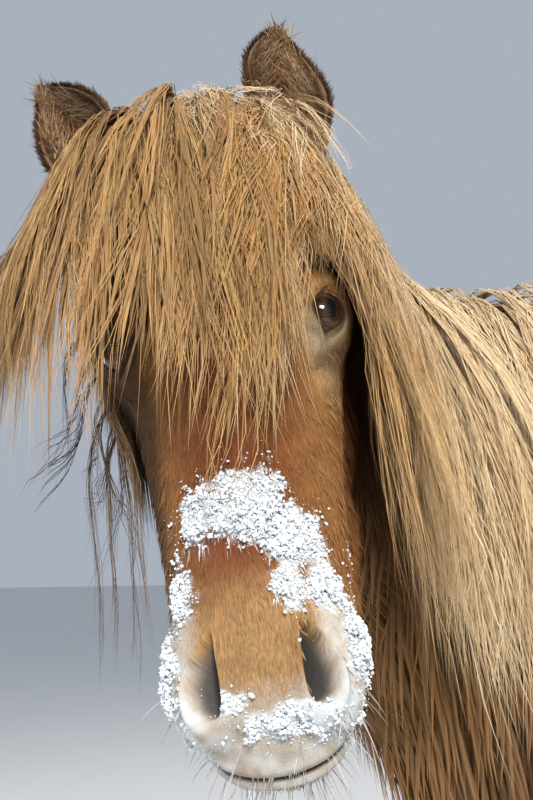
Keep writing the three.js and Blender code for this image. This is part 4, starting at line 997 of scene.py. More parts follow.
def kept_clear(path, up, radius=0.023):
    """Guides cut short where they would pass in front of the left eye, and which are still long enough."""
    q = to_head(path.reshape(-1, 3))
    inside = (np.hypot(q[:, 0] - EYE_CLEAR[0], (q[:, 2] - EYE_CLEAR[1]) * 0.8) < radius) & (q[:, 1] > -0.07)
    inside = inside.reshape(path.shape[:2])
    steps = path.shape[1]
    first = np.where(inside.any(axis=1), np.argmax(inside, axis=1), steps - 1)
    part = np.where(inside.any(axis=1), np.clip((first - 0.5) / (steps - 1), 0, 1), 1.0)
    enough = part > 0.3
    return resampled(path, part, steps)[enough], unit(resampled(up, part, steps))[enough], enough


def past_eye(p, side=0.0):
    """A push across the face, away from the left eye, for hair that comes down towards it."""
    q = to_head(p)
    across, down = q[:, 0] - EYE_CLEAR[0], q[:, 2] - EYE_CLEAR[1]
    near = smooth(0.055, 0.015, np.abs(across)) * smooth(-0.15, -0.04, down) * smooth(0.05, 0.0, down)
    return (np.where(across > side, 1.0, -1.0) * near)[:, None] * turn_out([1.0, 0, 0])


def laid_flat(root, way):
    """A direction turned nearly along the coat at its root."""
    normal = unit(slope(root, coated)[1])
    return unit(way - normal * dots(way, normal) * 0.85)


def teased(guides, ups, count, spread, close, sway, steps, shortest):
    """`count` hairs about each guide. Each keeps its place across the lock, which draws in to its tip and
    waves, and some stray from it."""
    many = np.repeat(np.arange(len(guides)), count)
    total = len(many)
    part = rng.uniform(shortest, 1.0, total)
    path = resampled(guides[many], part, steps)
    up = unit(resampled(ups[many], part, steps))
    across = unit(np.cross(np.gradient(path, axis=1), up))
    t = np.linspace(0, 1, steps)[None, :]
    place = rng.uniform(-1, 1, (total, 1))
    height = rng.uniform(0.0, 1.0, (total, 1)) * (1 - 0.5 * place ** 2)
    gather = smooth(-0.05, 0.15, t) * (close + (1 - close) * (1 - t) ** 1.3)
    wave = rng.uniform(0.4, 1.3, (len(guides), 1))[many] * sway * t
    phase = rng.uniform(0, 2 * pi, (len(guides), 1))[many] + rng.normal(0, 0.4, (total, 1))
    turns = rng.uniform(0.8, 2.4, (len(guides), 1))[many]
    stray = np.clip(rng.normal(0, 1, (total, 1)) ** 3, -5, 5) * 0.25 * sway * t ** 2
    sideways = place * spread * gather + wave * np.sin(phase + turns * 2 * pi * t) + stray
    upwards = height * spread * 0.5 * gather + 0.3 * wave * np.cos(phase * 1.7 + turns * 5 * t)
    upwards = upwards + 0.4 * np.abs(stray)
    return path + across * sideways[..., None] + up * upwards[..., None], up, many


# Skin
SKIN_CELL = 0.0115
SKIN_BOX = np.array([[-0.43, -1.37, 0.015], [0.62, 0.96, 1.6]])


def make_skin():
    """The flesh's zero surface: coarse on the body, finer on the head, and finest round its openings."""
    low, high = SKIN_BOX
    points, quads = net(sampled(flesh, low, high, SKIN_CELL), low, SKIN_CELL)
    points = drawn_to(points, flesh)
    faces = split_quads(points, quads)
    for reach in (None, 0.036, 0.014, 0.0035):
        middle = points[faces].mean(axis=1)
        wanted = head_distance(middle, 0.0) < 0.004 if reach is None else features(middle) < reach
        points, faces = refined(points, faces, wanted)
        points = drawn_to(points, flesh, 1)
    normal = unit(slope(points, flesh)[1])
    q = to_head(points)
    marks = markings(points)
    marks["grain"] = grain(points)
    shade = nostril_shade(q)
    lips = mouth_shade(q)
    # Painted shade: dark inside the nostrils and along the line between the lips; inside the nostrils a
    # tenth of the frost colour tints that shade grey-green
    marks["dark"] = np.maximum(marks["dark"], np.maximum(shade, lips))
    marks["frost"] = marks["frost"] * (1 - np.maximum(shade, lips)) + 0.1 * shade
    points = sculpted(points, normal)
    skin = make_piece("horse_skin", points, [faces], SKIN, marks)
    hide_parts("torso", "neck", "head", "tail", *[f"leg_{name}" for name in LEGS])
    return points, faces


# Parts of the body, as indices of GROUPS, and the way that the hair lies on each
ON_TORSO, ON_NECK, ON_HEAD, ON_FORE_LEG, ON_HIND_LEG, ON_DOCK = range(6)
GROUPS = (("torso",), ("neck",), ("head",), ("front_left", "front_right"), ("hind_left", "hind_right"),
          ("dock",))
LEG_LIE = (0, 0.2, -1)
LIES = np.array([(0, 0.8, -0.6), (0, 0.45, -0.9), tuple(turn_out((0, 0, 1))), LEG_LIE, LEG_LIE, LEG_LIE])


def nearest_part(p):
    """The part of the body that each point belongs to."""
    far = np.full(len(p), FAR)
    each = [np.minimum.reduce([part_distance(p, name, 0.0, far) for name in group]) for group in GROUPS]
    each[ON_HEAD] = head_distance(p, 0.0)
    return np.argmin(each, axis=0)


def grain(p):
    """Where a streaky pattern is read: fine across the hair's lie, and drawn out along it, part by part."""
    part = nearest_part(p)
    way = unit(LIES[part])
    fine = np.where(part == ON_HEAD, 0.0011, 0.0022)[:, None]
    return (p - way * dots(p, way) * 0.9) / fine


def laid_on(q, out):
    """Places of the head's frame moved along `out` on to the flesh, walking in from 5 cm outside it."""
    p = from_head(q + out * 0.05)
    way = turn_out(out)
    for _ in range(24):
        p = p - way * np.clip(0.8 * flesh(p), -0.01, 0.01)[:, None]
    return to_head(p)


# Lids and eyeballs
LID_COLUMNS = 64
LIDS = (  # from the ball out to the skin: scale of the opening, height over the ball, share of the flesh
    (0.93, -0.0004, 0), (0.98, 0.0006, 0), (1.02, 0.0016, 0), (1.08, 0.0024, 0.02), (1.17, 0.0028, 0.12),
    (1.28, 0.0022, 0.3), (1.37, 0.0012, 0.46), (1.48, 0.0022, 0.58), (1.64, 0.0022, 0.74),
    (1.85, 0.0015, 0.88), (2.15, 0.0008, 0.98), (2.5, 0.0, 1.08),
)


def lid_outline(angle):
    """An almond: the long half-axis by cosine, the short one by sine times its own size."""
    return EYE["long"] * np.cos(angle), EYE["high"] * np.sin(angle) * np.abs(np.sin(angle)) ** 0.85


def lid_ring(side, scale, lift, share):
    """The outline at a scale, `lift` outside the ball, turned to the flesh by share, never in the ball."""
    centre, long, short, look = eye_frame(side)
    a, b = lid_outline(np.arange(LID_COLUMNS) / LID_COLUMNS * 2 * pi)
    on = laid_on(centre + scale * (a[:, None] * long + b[:, None] * short), look)
    a, b = scale * a, scale * b
    reach = EYE["radius"] + lift
    c = np.sqrt(np.maximum(reach ** 2 - a * a - b * b, (0.5 * reach) ** 2))
    ball = centre + a[:, None] * long + b[:, None] * short + c[:, None] * look
    way = ball * (1 - share) + (on + look * 0.0015) * share - centre
    far = np.linalg.norm(way, axis=1, keepdims=True)
    return centre + way * np.maximum(1, (EYE["radius"] + min(lift, 0.001)) / far)


def make_eyelids():
    """Both lids in one ring: a thin wet edge on the ball, a rounded rim, a fold, and out to the skin."""
    level = np.repeat([scale for scale, _, _ in LIDS], LID_COLUMNS)
    faces = grid_faces(len(LIDS), LID_COLUMNS)[:, ::-1]
    for name, side in SIDES:
        points = from_head(np.concatenate([lid_ring(side, *row) for row in LIDS]))
        marks = markings(points)
        rim = smooth(1.14, 1.04, level)
        low = smooth(-0.004, 0.006, (to_head(points) - EYE["at"])[:, 2])
        near = smooth(0, 0.03, to_head(points)[:, 0]) * smooth(1.1, 1.2, level) * smooth(2.0, 1.5, level)
        marks["dark"] = held(marks["dark"] + 0.9 * rim + 0.25 * smooth(1.6, 1.3, level))
        marks["pale"] = held(marks["pale"] + (0.2 + 0.5 * low) * near)
        marks["grain"] = grain(points)
        make_piece(f"eyelids_{name}", points, [faces], SKIN, marks)


def make_eyes():
    """Balls with a clear bulge: a sphere on latitude and longitude, its front raised smoothly by `hump`."""
    rows, around = 40, 64
    angle = np.linspace(0, pi, rows)[:, None]
    turn = (np.arange(around) / around * 2 * pi)[None, :]
    radius = EYE["radius"] + EYE["hump"] * smooth(0.75, 0.0, angle) + 0 * turn
    front = np.repeat(angle[:, 0] / pi, around)
    across, up = [np.abs(np.sin(angle) * wave).ravel() for wave in (np.cos(turn), np.sin(turn))]
    marks = dict(pupil=smooth(0.34, 0.24, np.hypot(across * 0.62, up * 1.25)) * (front < 0.5),
                 iris=smooth(0.62, 0.5, np.sin(front * pi)) * (front < 0.5))
    for name, side in SIDES:
        centre, long, short, look = eye_frame(side)
        q = (np.cos(angle) * radius)[..., None] * look
        q = q + (np.sin(angle) * np.cos(turn) * radius)[..., None] * long
        q = q + (np.sin(angle) * np.sin(turn) * radius)[..., None] * short
        points = from_head(centre + q.reshape(-1, 3))
        piece = make_piece(f"eyeball_{name}", points, [grid_faces(rows, around)[:, ::-1]], EYE_GLOSS, marks)
        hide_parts(f"eye_{name}")


# Ears
EAR = dict(at=dict(left=0.088, right=0.091), lean=dict(left=radians(3), right=radians(25)), length=0.184,
           width=0.084, back=radians(4), open=radians(24), root=(-0.044, -0.01), sink=0.06)


def ear_frame(name):
    """Root, and the directions across the ear, the way it faces and along it to its tip."""
    side = dict(SIDES)[name]
    lean = EAR["lean"][name]
    along = unit(np.array([side * sin(lean), -sin(EAR["back"]), -cos(lean)]))
    facing = np.array([side * sin(EAR["open"]), cos(EAR["open"]), 0])
    facing = unit(facing - along * (facing @ along))
    return np.array([side * EAR["at"][name], *EAR["root"]]), np.cross(facing, along), facing, along


def ear_sheet(name, rows, around):
    """The ear as a leaf rolled into a cup: `s` runs from its root to its tip and `a` round the roll.
    Its half width follows a sine hump, its roll opens towards the tip, and its radius is the half width
    over the sine of the roll. Points come as a grid of rows by around + 1, with the way out of the cup."""
    root, across, facing, along = ear_frame(name)
    s = np.linspace(0, 1, rows)[:, None]
    low = EAR["sink"] / (EAR["length"] + EAR["sink"])
    up = held((s - low) / (1 - low))
    leaf = np.sin(pi * (0.26 + 0.74 * up ** 1.15)) ** 0.62
    half = EAR["width"] / 2 * leaf * (1 - 0.25 * smooth(low, 0, s))
    roll = radians(112) * (1 - 0.55 * up)
    radius = half / np.minimum(1, np.sin(np.minimum(roll, pi / 2)))
    a = roll * np.linspace(-1, 1, around + 1)[None, :]
    height = s * (EAR["length"] + EAR["sink"]) - EAR["sink"]
    q = root + (-radius * np.sin(a))[..., None] * across
    q = q + (radius * 0.35 - radius * np.cos(a) * 0.9)[..., None] * facing
    q = q + (height + 0 * a)[..., None] * along
    outward = -np.sin(a)[..., None] * across - np.cos(a)[..., None] * facing
    return q, outward, s + 0 * a, np.linspace(-1, 1, around + 1)[None, :] + 0 * s


def make_ears():
    """Each ear's back and cup are two sheets a few millimetres apart, joined at their edge, under fur."""
    rows, around = 40, 28
    for name, _ in SIDES:
        back, outward, s, a = ear_sheet(name, rows, around)
        thick = (0.0055 - 0.003 * s)[..., None]
        cup = (back - outward * thick)[:, ::-1]
        points = np.concatenate([back, cup], axis=1)
        count = points.shape[1]
        tip = np.full((1, count, 3), points[-1].mean(axis=0))
        flat = from_head(np.concatenate([points, tip]).reshape(-1, 3))
        faces = grid_faces(rows + 1, count)[:, ::-1]
        inside = np.tile(np.repeat([0.0, 1.0], around + 1), rows + 1)
        edge = np.tile(np.concatenate([np.abs(a[0]), np.abs(a[0])[::-1]]), rows + 1)
        up = np.repeat(np.linspace(0, 1, rows + 1), count)
        marks = dict(
            red=np.full(len(flat), 0.45), frost=np.zeros(len(flat)), grain=grain(flat),
            dark=held(0.5 + 0.3 * smooth(0.8, 1.0, up) + inside * 0.4 * smooth(0.9, 0.2, edge)),
            pale=inside * 0.35 * smooth(0.55, 0.9, edge),
        )
        piece = make_piece(f"ear_skin_{name}", flat, [faces], SKIN, marks)
        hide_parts(f"ear_{name}")
        make_ear_fur(name)


def read_sheet(grid, s, a):
    """Values of a grid at s from 0 to 1 down its rows and a from -1 to 1 across them, blended between."""
    x = held(s) * (len(grid) - 1)
    y = (np.clip(a, -1, 1) + 1) / 2 * (grid.shape[1] - 1)
    i = np.minimum(x.astype(int), len(grid) - 2)
    j = np.minimum(y.astype(int), grid.shape[1] - 2)
    f, g = (x - i)[:, None], (y - j)[:, None]
    top = grid[i, j] * (1 - g) + grid[i, j + 1] * g
    return top * (1 - f) + (grid[i + 1, j] * (1 - g) + grid[i + 1, j + 1] * g) * f


EAR_FUR = dict(
    back=dict(count=2300, low=0.2, high=0.985, edge=0.0, length=0.016, rise=0.0045, width=0.0023, steps=4,
              lean=0.15, stray=0.14, sink=0.001, pale=0.05, dark=0.52),
    rim=dict(count=1500, low=0.24, high=1.0, edge=0.92, length=0.012, rise=0.003, width=0.0016, steps=4,
             lean=0.7, stray=0.2, sink=0.001, pale=0.0, dark=0.8),
    inside=dict(count=1000, low=0.24, high=0.9, edge=0.2, length=0.045, rise=-0.014, width=0.0012, steps=6,
                lean=-0.1, stray=0.26, sink=0.006, pale=0.6, dark=0.62),
)


def make_ear_fur(name):
    """Short dark fur over an ear's back and rim, and long hair out of its cup, pale by the hem."""
    sheet, outward, _, _ = ear_sheet(name, 60, 40)
    along, round_it = unit(np.gradient(sheet, axis=0)), unit(np.gradient(sheet, axis=1))
    for kind, fur in EAR_FUR.items():
        count = fur["count"]
        s = rng.uniform(fur["low"], fur["high"], count)
        a = rng.uniform(fur["edge"], 1, count) * rng.choice([-1, 1], count)
        root = read_sheet(sheet, s, a)
        out = unit(read_sheet(outward, s, a))
        side = unit(read_sheet(round_it, s, a)) * np.sign(a)[:, None]
        way = unit(read_sheet(along, s, a)) + side * fur["lean"]
        way = unit(way + rng.normal(0, fur["stray"], (count, 3)))
        size = fur["length"] * rng.uniform(0.6, 1.15, count) * (1 - 0.35 * smooth(0.7, 1.0, s))
        t = np.linspace(0, 1, fur["steps"])[None, :, None]
        path = root[:, None] + way[:, None] * size[:, None, None] * t
        path = path + out[:, None] * fur["rise"] * t ** 0.7 * rng.uniform(0.5, 1.1, (count, 1, 1))
        path = from_head(path - out[:, None] * fur["sink"])
        pale = fur["pale"] * rng.uniform(0.3, 1.4, count)
        dark = fur["dark"] + 0.15 * smooth(0.75, 1.0, s) + rng.normal(0, 0.08, count)
        if kind == "inside":
            hem = smooth(0.35, 0.75, np.abs(a)) * smooth(0.98, 0.85, np.abs(a))
            dark = dark - 0.5 * hem
            pale = pale * hem
        marks = dict(red=0.35, pale=held(pale), dark=held(dark), frost=0.0, tone=rng.uniform(0, 1, count))
        wide = fur["width"] * rng.uniform(0.7, 1.3, count)
        up = np.broadcast_to(turn_out(out)[:, None], path.shape)
        make_hair(f"ear_{kind}_{name}", path, up, wide, 0.3, vectors(0.02 + 0.48 * (a + 1), s), COAT, marks)


# Hooves
HOOF = dict(sole=(0.057, 0.062), top=(0.0465, 0.0505), height=0.06, slope=radians(17), back=0.038)


def make_hooves():
    """A loft from sole to sloping coronet: ellipses that shrink and move back, rippled by growth rings."""
    rows, around = 46, 72
    turn = (np.arange(around) / around * 2 * pi)[None, :]
    for name, (rods, side) in LEGS.items():
        x, y, _ = rods[-1]["b"]
        x = x * side
        t = np.linspace(0, 1, rows)[:, None]
        ripple = 0.0005 * np.sin(t * 60 + 0.6 * np.sin(turn * 2))
        ripple = ripple * smooth(0.02, 0.15, t) * smooth(1.0, 0.9, t)
        edge = -0.003 * smooth(0.05, 0.0, t)
        rx, ry = [low + (high - low) * t + ripple + edge for low, high in zip(HOOF["sole"], HOOF["top"])]
        reach = ry * np.sin(turn)
        reach = reach * np.where(reach > 0, 0.86, 1.0)
        height = HOOF["height"] * t - tan(HOOF["slope"]) * reach * t
        ring = vectors(x + rx * np.cos(turn), y - HOOF["back"] * (1 - t) + reach, np.maximum(height, 0))
        sole = np.tile([x, y - HOOF["back"], 0.0], (1, around, 1))
        top = np.tile(ring[-1].mean(axis=0), (1, around, 1))
        points = np.concatenate([sole, ring, top]).reshape(-1, 3)
        marks = dict(up=np.clip(points[:, 2] / HOOF["height"], 0, 1.3))
        piece = make_piece(f"hoof_wall_{name}", points, [grid_faces(rows + 2, around)], HORN, marks)
        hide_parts(f"hoof_{name}")


# Coat
def scattered(points, faces, weight, count):
    """Random places on the skin, as many to each face as its area times its weight."""
    a, b, c = points[faces[:, 0]], points[faces[:, 1]], points[faces[:, 2]]
    area = np.linalg.norm(np.cross(b - a, c - a), axis=1) * weight
    face = rng.choice(len(faces), count, p=area / area.sum())
    r, t = rng.uniform(0, 1, (2, count))
    r = np.sqrt(r)
    return (1 - r)[:, None] * a[face] + (r * (1 - t))[:, None] * b[face] + (r * t)[:, None] * c[face]


def lie_of(p, normal, part):
    """The way the coat lies: back and down the body, down the legs, down the nose, and off the cheeks."""
    u, v, _ = to_head(p).T
    way = np.tile([0.0, 0.8, -0.6], (len(p), 1))
    low = smooth(0.95, 0.8, p[:, 2])[:, None]
    way = way * (1 - low) + np.array([0, 0.85, -0.5]) * low
    breast = (smooth(-0.42, -0.6, p[:, 1]) * (part == ON_TORSO))[:, None]
    way = way * (1 - breast) + np.array([0, 0.05, -1.0]) * breast
    way = np.where((part == ON_NECK)[:, None], [0.0, 0.45, -0.9], way)
    way = np.where((part >= ON_FORE_LEG)[:, None], [0.0, 0.22, -1.0], way)
    cheek = smooth(0.0, 0.09, np.abs(u))
    face = turn_out(vectors(0.35 * np.sign(u) * cheek, -0.45 * cheek, 0.9))
    hang = smooth(-0.1, -0.2, v)[:, None]
    face = face * (1 - hang) + (DOWN + 0.3 * turn_out([0, 0, 1])) * hang
    way = np.where((part == ON_HEAD)[:, None], face, way)
    way = unit(way - normal * dots(way, normal))
    swirl = (mottle(p, 0.07, 4) - 0.5) * 1.1 + rng.normal(0, 0.16, len(p))
    side = np.cross(normal, way)
    return way * np.cos(swirl)[:, None] + side * np.sin(swirl)[:, None]


def chart_of(p, origin, axis, up, length):
    """Unwraps the skin about an axis: the angle round it, and the share of the length along it."""
    axis, up = unit(np.array(axis, float)), np.array(up, float)
    up = unit(up - axis * (up @ axis))
    d = p - np.array(origin)
    angle = np.arctan2(d @ np.cross(axis, up), d @ up)
    return vectors(0.01 + 0.98 * (angle / (2 * pi) + 0.5), held(0.01 + 0.98 * (d @ axis) / length))


LEG_AXIS = 0.137  # how far to each side the legs' unwraps are centred
CHARTS = [
    dict(origin=(0, -0.65, 1.03), axis=(0, 1, 0), up=(0, 0, -1), length=1.45),
    dict(origin=(0, -0.35, 1.13), axis=(0.12, -0.95, 0.3), up=(0, 0, -1), length=0.8),
    dict(origin=from_head((0, -0.1, -0.06)), axis=turn_out((0, 0, 1)), up=turn_out((0, -1, 0)),
         length=0.66),
    dict(origin=(0, -0.43, 0.05), axis=(0, 0, 1), up=(0, 1, 0), length=1.0),
    dict(origin=(0, 0.55, 0.05), axis=(0, 0, 1), up=(0, 1, 0), length=1.1),
    dict(origin=(0, 0.8, 0.8), axis=(0, 0, 1), up=(0, 1, 0), length=0.5),
]


def chart(p, part):
    """The OFBake place of each root, on the unwrap of its part. A leg is unwrapped by itself."""
    uv = np.zeros((len(p), 2))
    for index, one in enumerate(CHARTS):
        here = part == index
        if index in (ON_FORE_LEG, ON_HIND_LEG) and here.any():
            for side, shift in ((1, 0.0), (-1, 0.5)):
                leg = here & (p[:, 0] * side > 0)
                moved = dict(one, origin=np.array(one["origin"]) + [LEG_AXIS * side, 0, 0])
                uv[leg] = chart_of(p[leg], **moved) * [0.5, 1] + [shift, 0]
        elif here.any():
            uv[here] = chart_of(p[here], **one)
    return uv


def hanging(p, normal, part):
    """Added length where the winter coat hangs: throat, breast, belly, elbows, jaw and fetlocks."""
    under = smooth(0.1, -0.7, normal[:, 2])
    back = smooth(0.1, 0.6, normal[:, 1])
    q = to_head(p)
    jaw = smooth(-0.13, -0.22, q[:, 1]) * smooth(0.1, 0.16, q[:, 2]) * smooth(0.5, 0.4, q[:, 2])
    fetlock = back * smooth(0.1, 0.13, p[:, 2]) * smooth(0.25, 0.2, p[:, 2])
    body = (0.045 + 0.045 * (part == ON_NECK)) * under * (part <= ON_NECK)
    legs = (0.04 * fetlock + 0.02 * back * smooth(0.5, 0.7, p[:, 2])) * (part >= ON_FORE_LEG)
    return body + 0.032 * jaw * (part == ON_HEAD) + legs


CLUMP_CELL, CLUMPING = 0.022, 0.35  # tufts lean by this share to the middle of the cell that they root in
ROOT_DEPTH = 0.002


def make_tufts(name, root, part, length, rise, width, finish):
    """Tufts that leave the skin, rise to `rise` of the coat's depth and bend over along its lie to a point.
    At t of its length a tuft is length * t along the lie and depth * t^0.7 out, and leans to its clump."""
    count = len(root)
    normal = unit(slope(root, flesh)[1])
    depth = np.clip(-coated(root), 0.003, 0.06)
    size = (length * depth + 0.007) * rng.uniform(0.75, 1.15, count) + hanging(root, normal, part)
    way = lie_of(root, normal, part)
    lean = (np.floor(root / CLUMP_CELL) + 0.5) * CLUMP_CELL - root
    lean = (lean - normal * dots(lean, normal)) * CLUMPING
    t = np.linspace(0, 1, 3)[None, :, None]
    droop = DOWN * (0.25 * size[:, None])[:, None, :] * t ** 2 * smooth(0.03, 0.06, size)[:, None, None]
    out = (depth * rise)[:, None, None] * t ** 0.7 * rng.uniform(0.6, 1.0, (count, 1, 1))
    path = root[:, None] - normal[:, None] * ROOT_DEPTH + way[:, None] * size[:, None, None] * t
    path = path + normal[:, None] * out + lean[:, None] * t + droop
    up = np.broadcast_to(normal[:, None], path.shape)
    marks = markings(root)
    marks["tone"] = held(0.45 * rng.uniform(0, 1, count) + 0.55 * mottle(root, 0.018, 9))
    wide = width * rng.uniform(0.7, 1.3, count)
    make_hair(name, path, up, wide, 0.3, chart(root, part), finish, marks)


COAT_PIECES = (  # name, part, side or 0 for both, tufts, length for each depth of coat, rise, width
    ("coat_barrel_left", ON_TORSO, 1, 8000, 1.7, 0.85, 0.0072),
    ("coat_barrel_right", ON_TORSO, -1, 8000, 1.7, 0.85, 0.0072),
    ("coat_neck_left", ON_NECK, 1, 12500, 1.7, 0.85, 0.0022),
    ("coat_neck_right", ON_NECK, -1, 5000, 1.7, 0.85, 0.0062),
    ("coat_face", ON_HEAD, 0, 18500, 1.2, 0.5, 0.0017),
    ("coat_fore_legs", ON_FORE_LEG, 0, 5400, 1.9, 0.8, 0.0044),
    ("coat_hind_legs", ON_HIND_LEG, 0, 6200, 1.9, 0.8, 0.0046),
    ("coat_dock", ON_DOCK, 0, 900, 10.0, 0.8, 0.004),
)
CORONET = 0.055  # height above which the feet have hair


def make_coat(points, faces):
    """Tufts over the whole skin in pieces by part and side, finest on the face and the left of the neck."""
    middle = points[faces].mean(axis=1)
    part = nearest_part(middle)
    hidden = (middle[:, 2] < CORONET) | bare(middle)
    for name, index, side, count, length, rise, width in COAT_PIECES:
        chosen = (part == index) & ~hidden
        if side:
            chosen &= middle[:, 0] * side > 0
        root = scattered(points, faces, chosen.astype(float), count)
        finish = FACE_COAT if index == ON_HEAD else COAT
        make_tufts(name, root, np.full(count, index), length, rise, width, finish)


# Long hair
MANE_LENGTH, MANE_LAYERS = 0.57, 7
FORELOCK_LENGTH, FORELOCK_LAYERS, FORELOCK_LOCKS = 0.36, 8, 46
TAIL_TIP, TAIL_LOCKS = 0.13, 210
GOLDEN_TURN = radians(137.5)  # from one lock of the tail to the next, so that they stand evenly


def on_coat(inside, way, depth):
    """Where a line from `inside` along `way` comes within `depth` of the coat's outside, by halving."""
    near = np.zeros((len(inside), 1))
    far = np.full((len(inside), 1), 0.42)
    for _ in range(20):
        middle = (near + far) / 2
        within = (coated(inside + way * middle) < -depth)[:, None]
        near = np.where(within, middle, near)
        far = np.where(within, far, middle)
    return inside + way * near


def line_at(at, t):
    """Points of the broken line through `at`; t runs from 0 at its start to 1 at its end."""
    at = np.array(at, float)
    x = held(t) * (len(at) - 1)
    i = np.minimum(x.astype(int), len(at) - 2)
    f = (x - i)[:, None]
    return at[i] * (1 - f) + at[i + 1] * f


def fringe_hairs(name, guides, ups, count, spread, close, sway, width, colours, steps=9, shortest=0.7,
                 lock=1.0):
    """A lens-shaped lock along each guide, and hairs teased out over it, in the guides' colours; the locks
    are painted darker as painted shade under the hairs.
    """
    tone = rng.uniform(0, 1, len(guides))
    part = rng.uniform(0.8, 0.95, len(guides))
    path = resampled(guides, part, 9)
    up = unit(resampled(ups, part, 9))
    t = np.arange(8) / 8
    taper = (0.1 + 0.9 * smooth(0, 0.22, t)) * (1 - 0.88 * t ** 1.5)
    place = chart(guides[:, 0], nearest_part(guides[:, 0]))
    # Painted shade: the locks take only the low tones, so they read darker than the hairs teased over them
    marks = dict(colours, frost=0.0, tone=0.05 + 0.4 * tone)
    wide = 1.5 * spread * lock * rng.uniform(0.6, 1.2, len(guides))
    make_hair(f"{name}_locks", path, up, wide, 0.22, place, HAIR, marks, taper, LOCK_SECTION)
    path, up, many = teased(guides, ups, count, spread, close, sway, steps, shortest)
    marks = {key: value[many] for key, value in colours.items()}
    marks["tone"] = held(0.4 * tone[many] + 0.6 * rng.uniform(0, 1, len(many)))
    marks["pale"] = held(marks["pale"] + rng.normal(0, 0.1, len(many)))
    marks["frost"] = 0.0
    wide = width * rng.uniform(0.5, 1.3, len(many))
    make_hair(f"{name}_hairs", path, up, wide, 0.4, place[many], HAIR, marks)


def make_forelock():
    """Layers of locks from between the ears that fan out over the forehead and fall past both temples."""
    layers = []
    count = FORELOCK_LOCKS
    for layer in range(FORELOCK_LAYERS):
        fan = np.linspace(-1.0, 0.62, count) + rng.normal(0, 0.03, count)
        side = np.abs(fan)
        inside = from_head(vectors(fan * 0.046, -0.07, 0.03))
        aim = vectors(fan * 0.55, 0.42 - 0.14 * layer, -1.0)
        root = on_coat(inside, unit(turn_out(aim)), 0.012)
        length = FORELOCK_LENGTH * (1.16 - 0.34 * side ** 3 * (fan < 0) - 0.24 * smooth(0.2, 0.6, fan))
        length = length * rng.uniform(0.76, 1.06, count)
        sway, phase = rng.uniform(0.05, 0.22, count), rng.uniform(0, 6.3, count)
        flow = 1.2 * layer + 5 * fan

        def pull(p, t):
            fall = unit(turn_out([0, 0.1, 1]) + DOWN)
            wide = fan * 0.9 * (1 - t) ** 2 + sway * np.sin(phase + t * 7) + 0.16 * np.sin(flow + 4.5 * t)
            return unit(fall + wide[:, None] * turn_out([1.0, 0, 0]) + 0.35 * past_eye(p, 0.02))

        start = laid_flat(root, turn_out(vectors(fan * 1.1, 1.0, 0.3)))
        lift = 0.003 + 0.0042 * layer * (1 + 0.6 * side ** 2 * (fan < 0)) + rng.uniform(0, 0.003, count)
        path, up, kept = kept_clear(*draped(root, start, length, lift, pull))
        layers.append((path, up, fan[kept]))
    guides, ups, fans = [np.concatenate(each) for each in zip(*layers)]
    sides = held(smooth(0.35, 1.0, -fans) + 0.8 * smooth(0.15, 0.5, fans))
    colours = dict(red=0.45 * rng.uniform(0, 1, len(fans)) ** 1.5,
                   pale=held(0.14 + 0.9 * sides * rng.uniform(0.4, 1, len(fans))),
                   dark=0.55 * rng.uniform(0, 1, len(fans)) ** 3)
    fringe_hairs("forelock", guides, ups, 12, 0.0072, 0.5, 0.011, 0.0013, colours, steps=8)


MANE = (  # name, where it starts and ends along the neck, locks in a layer, hairs to a lock
    ("mane_front", 0.6, 1.02, 36, 12),
    ("mane_middle", 0.32, 0.62, 26, 11),
    ("mane_back", 0.06, 0.34, 21, 9),
)


def make_mane():
    """Layers of locks from the crest that fall on the neck's left, darker by the face and flaxen behind."""
    for name, low, high, count, hairs in MANE:
        layers = []
        for layer in range(MANE_LAYERS):
            t = np.linspace(low, high, count) + rng.normal(0, 0.008, count)
            aim = unit(np.array([0.25 - 0.055 * layer, 0, 1.0]) + rng.normal(0, 0.05, (count, 3)))
            root = on_coat(line_at([one["at"] for one in NECK], t), aim, 0.014)
            along = held(t)
            length = MANE_LENGTH * (0.78 + 0.22 * np.sin(pi * along)) * rng.uniform(0.7, 1.05, count)
            sway, phase = rng.uniform(0.05, 0.32, count), rng.uniform(0, 6.3, count)
            flow = 1.3 * layer + 9 * along
            forward = 0.24 * smooth(0.78, 1.0, along)

            def pull(p, s):
                wave = sway * np.sin(phase + s * 8)
                back = 0.16 - 0.1 * along - forward + wave + 0.18 * np.sin(flow + s * 5)
                return unit(unit(vectors(0.22 * (1 - s), back, -1.0)) + 0.25 * past_eye(p, -0.05))

            start = laid_flat(root, np.tile([0.9, 0.1, 0.1], (count, 1)))
            lift = 0.002 + 0.0045 * layer + rng.uniform(0, 0.003, count)
            path, up, kept = kept_clear(*draped(root, start, length, lift, pull))
            layers.append((path, up, along[kept]))
        guides, ups, places = [np.concatenate(each) for each in zip(*layers)]
        flaxen = smooth(1.0, 0.45, places)
        colours = dict(red=0.22 * rng.uniform(0.1, 1, len(places)) * (1 - 0.5 * flaxen),
                       pale=held(0.1 + 0.9 * flaxen * rng.uniform(0.6, 1, len(places))),
                       dark=0.35 * (1 - flaxen) * rng.uniform(0, 1, len(places)) ** 3)
        fringe_hairs(name, guides, ups, hairs, 0.009, 0.55, 0.018, 0.0014, colours, lock=0.65)


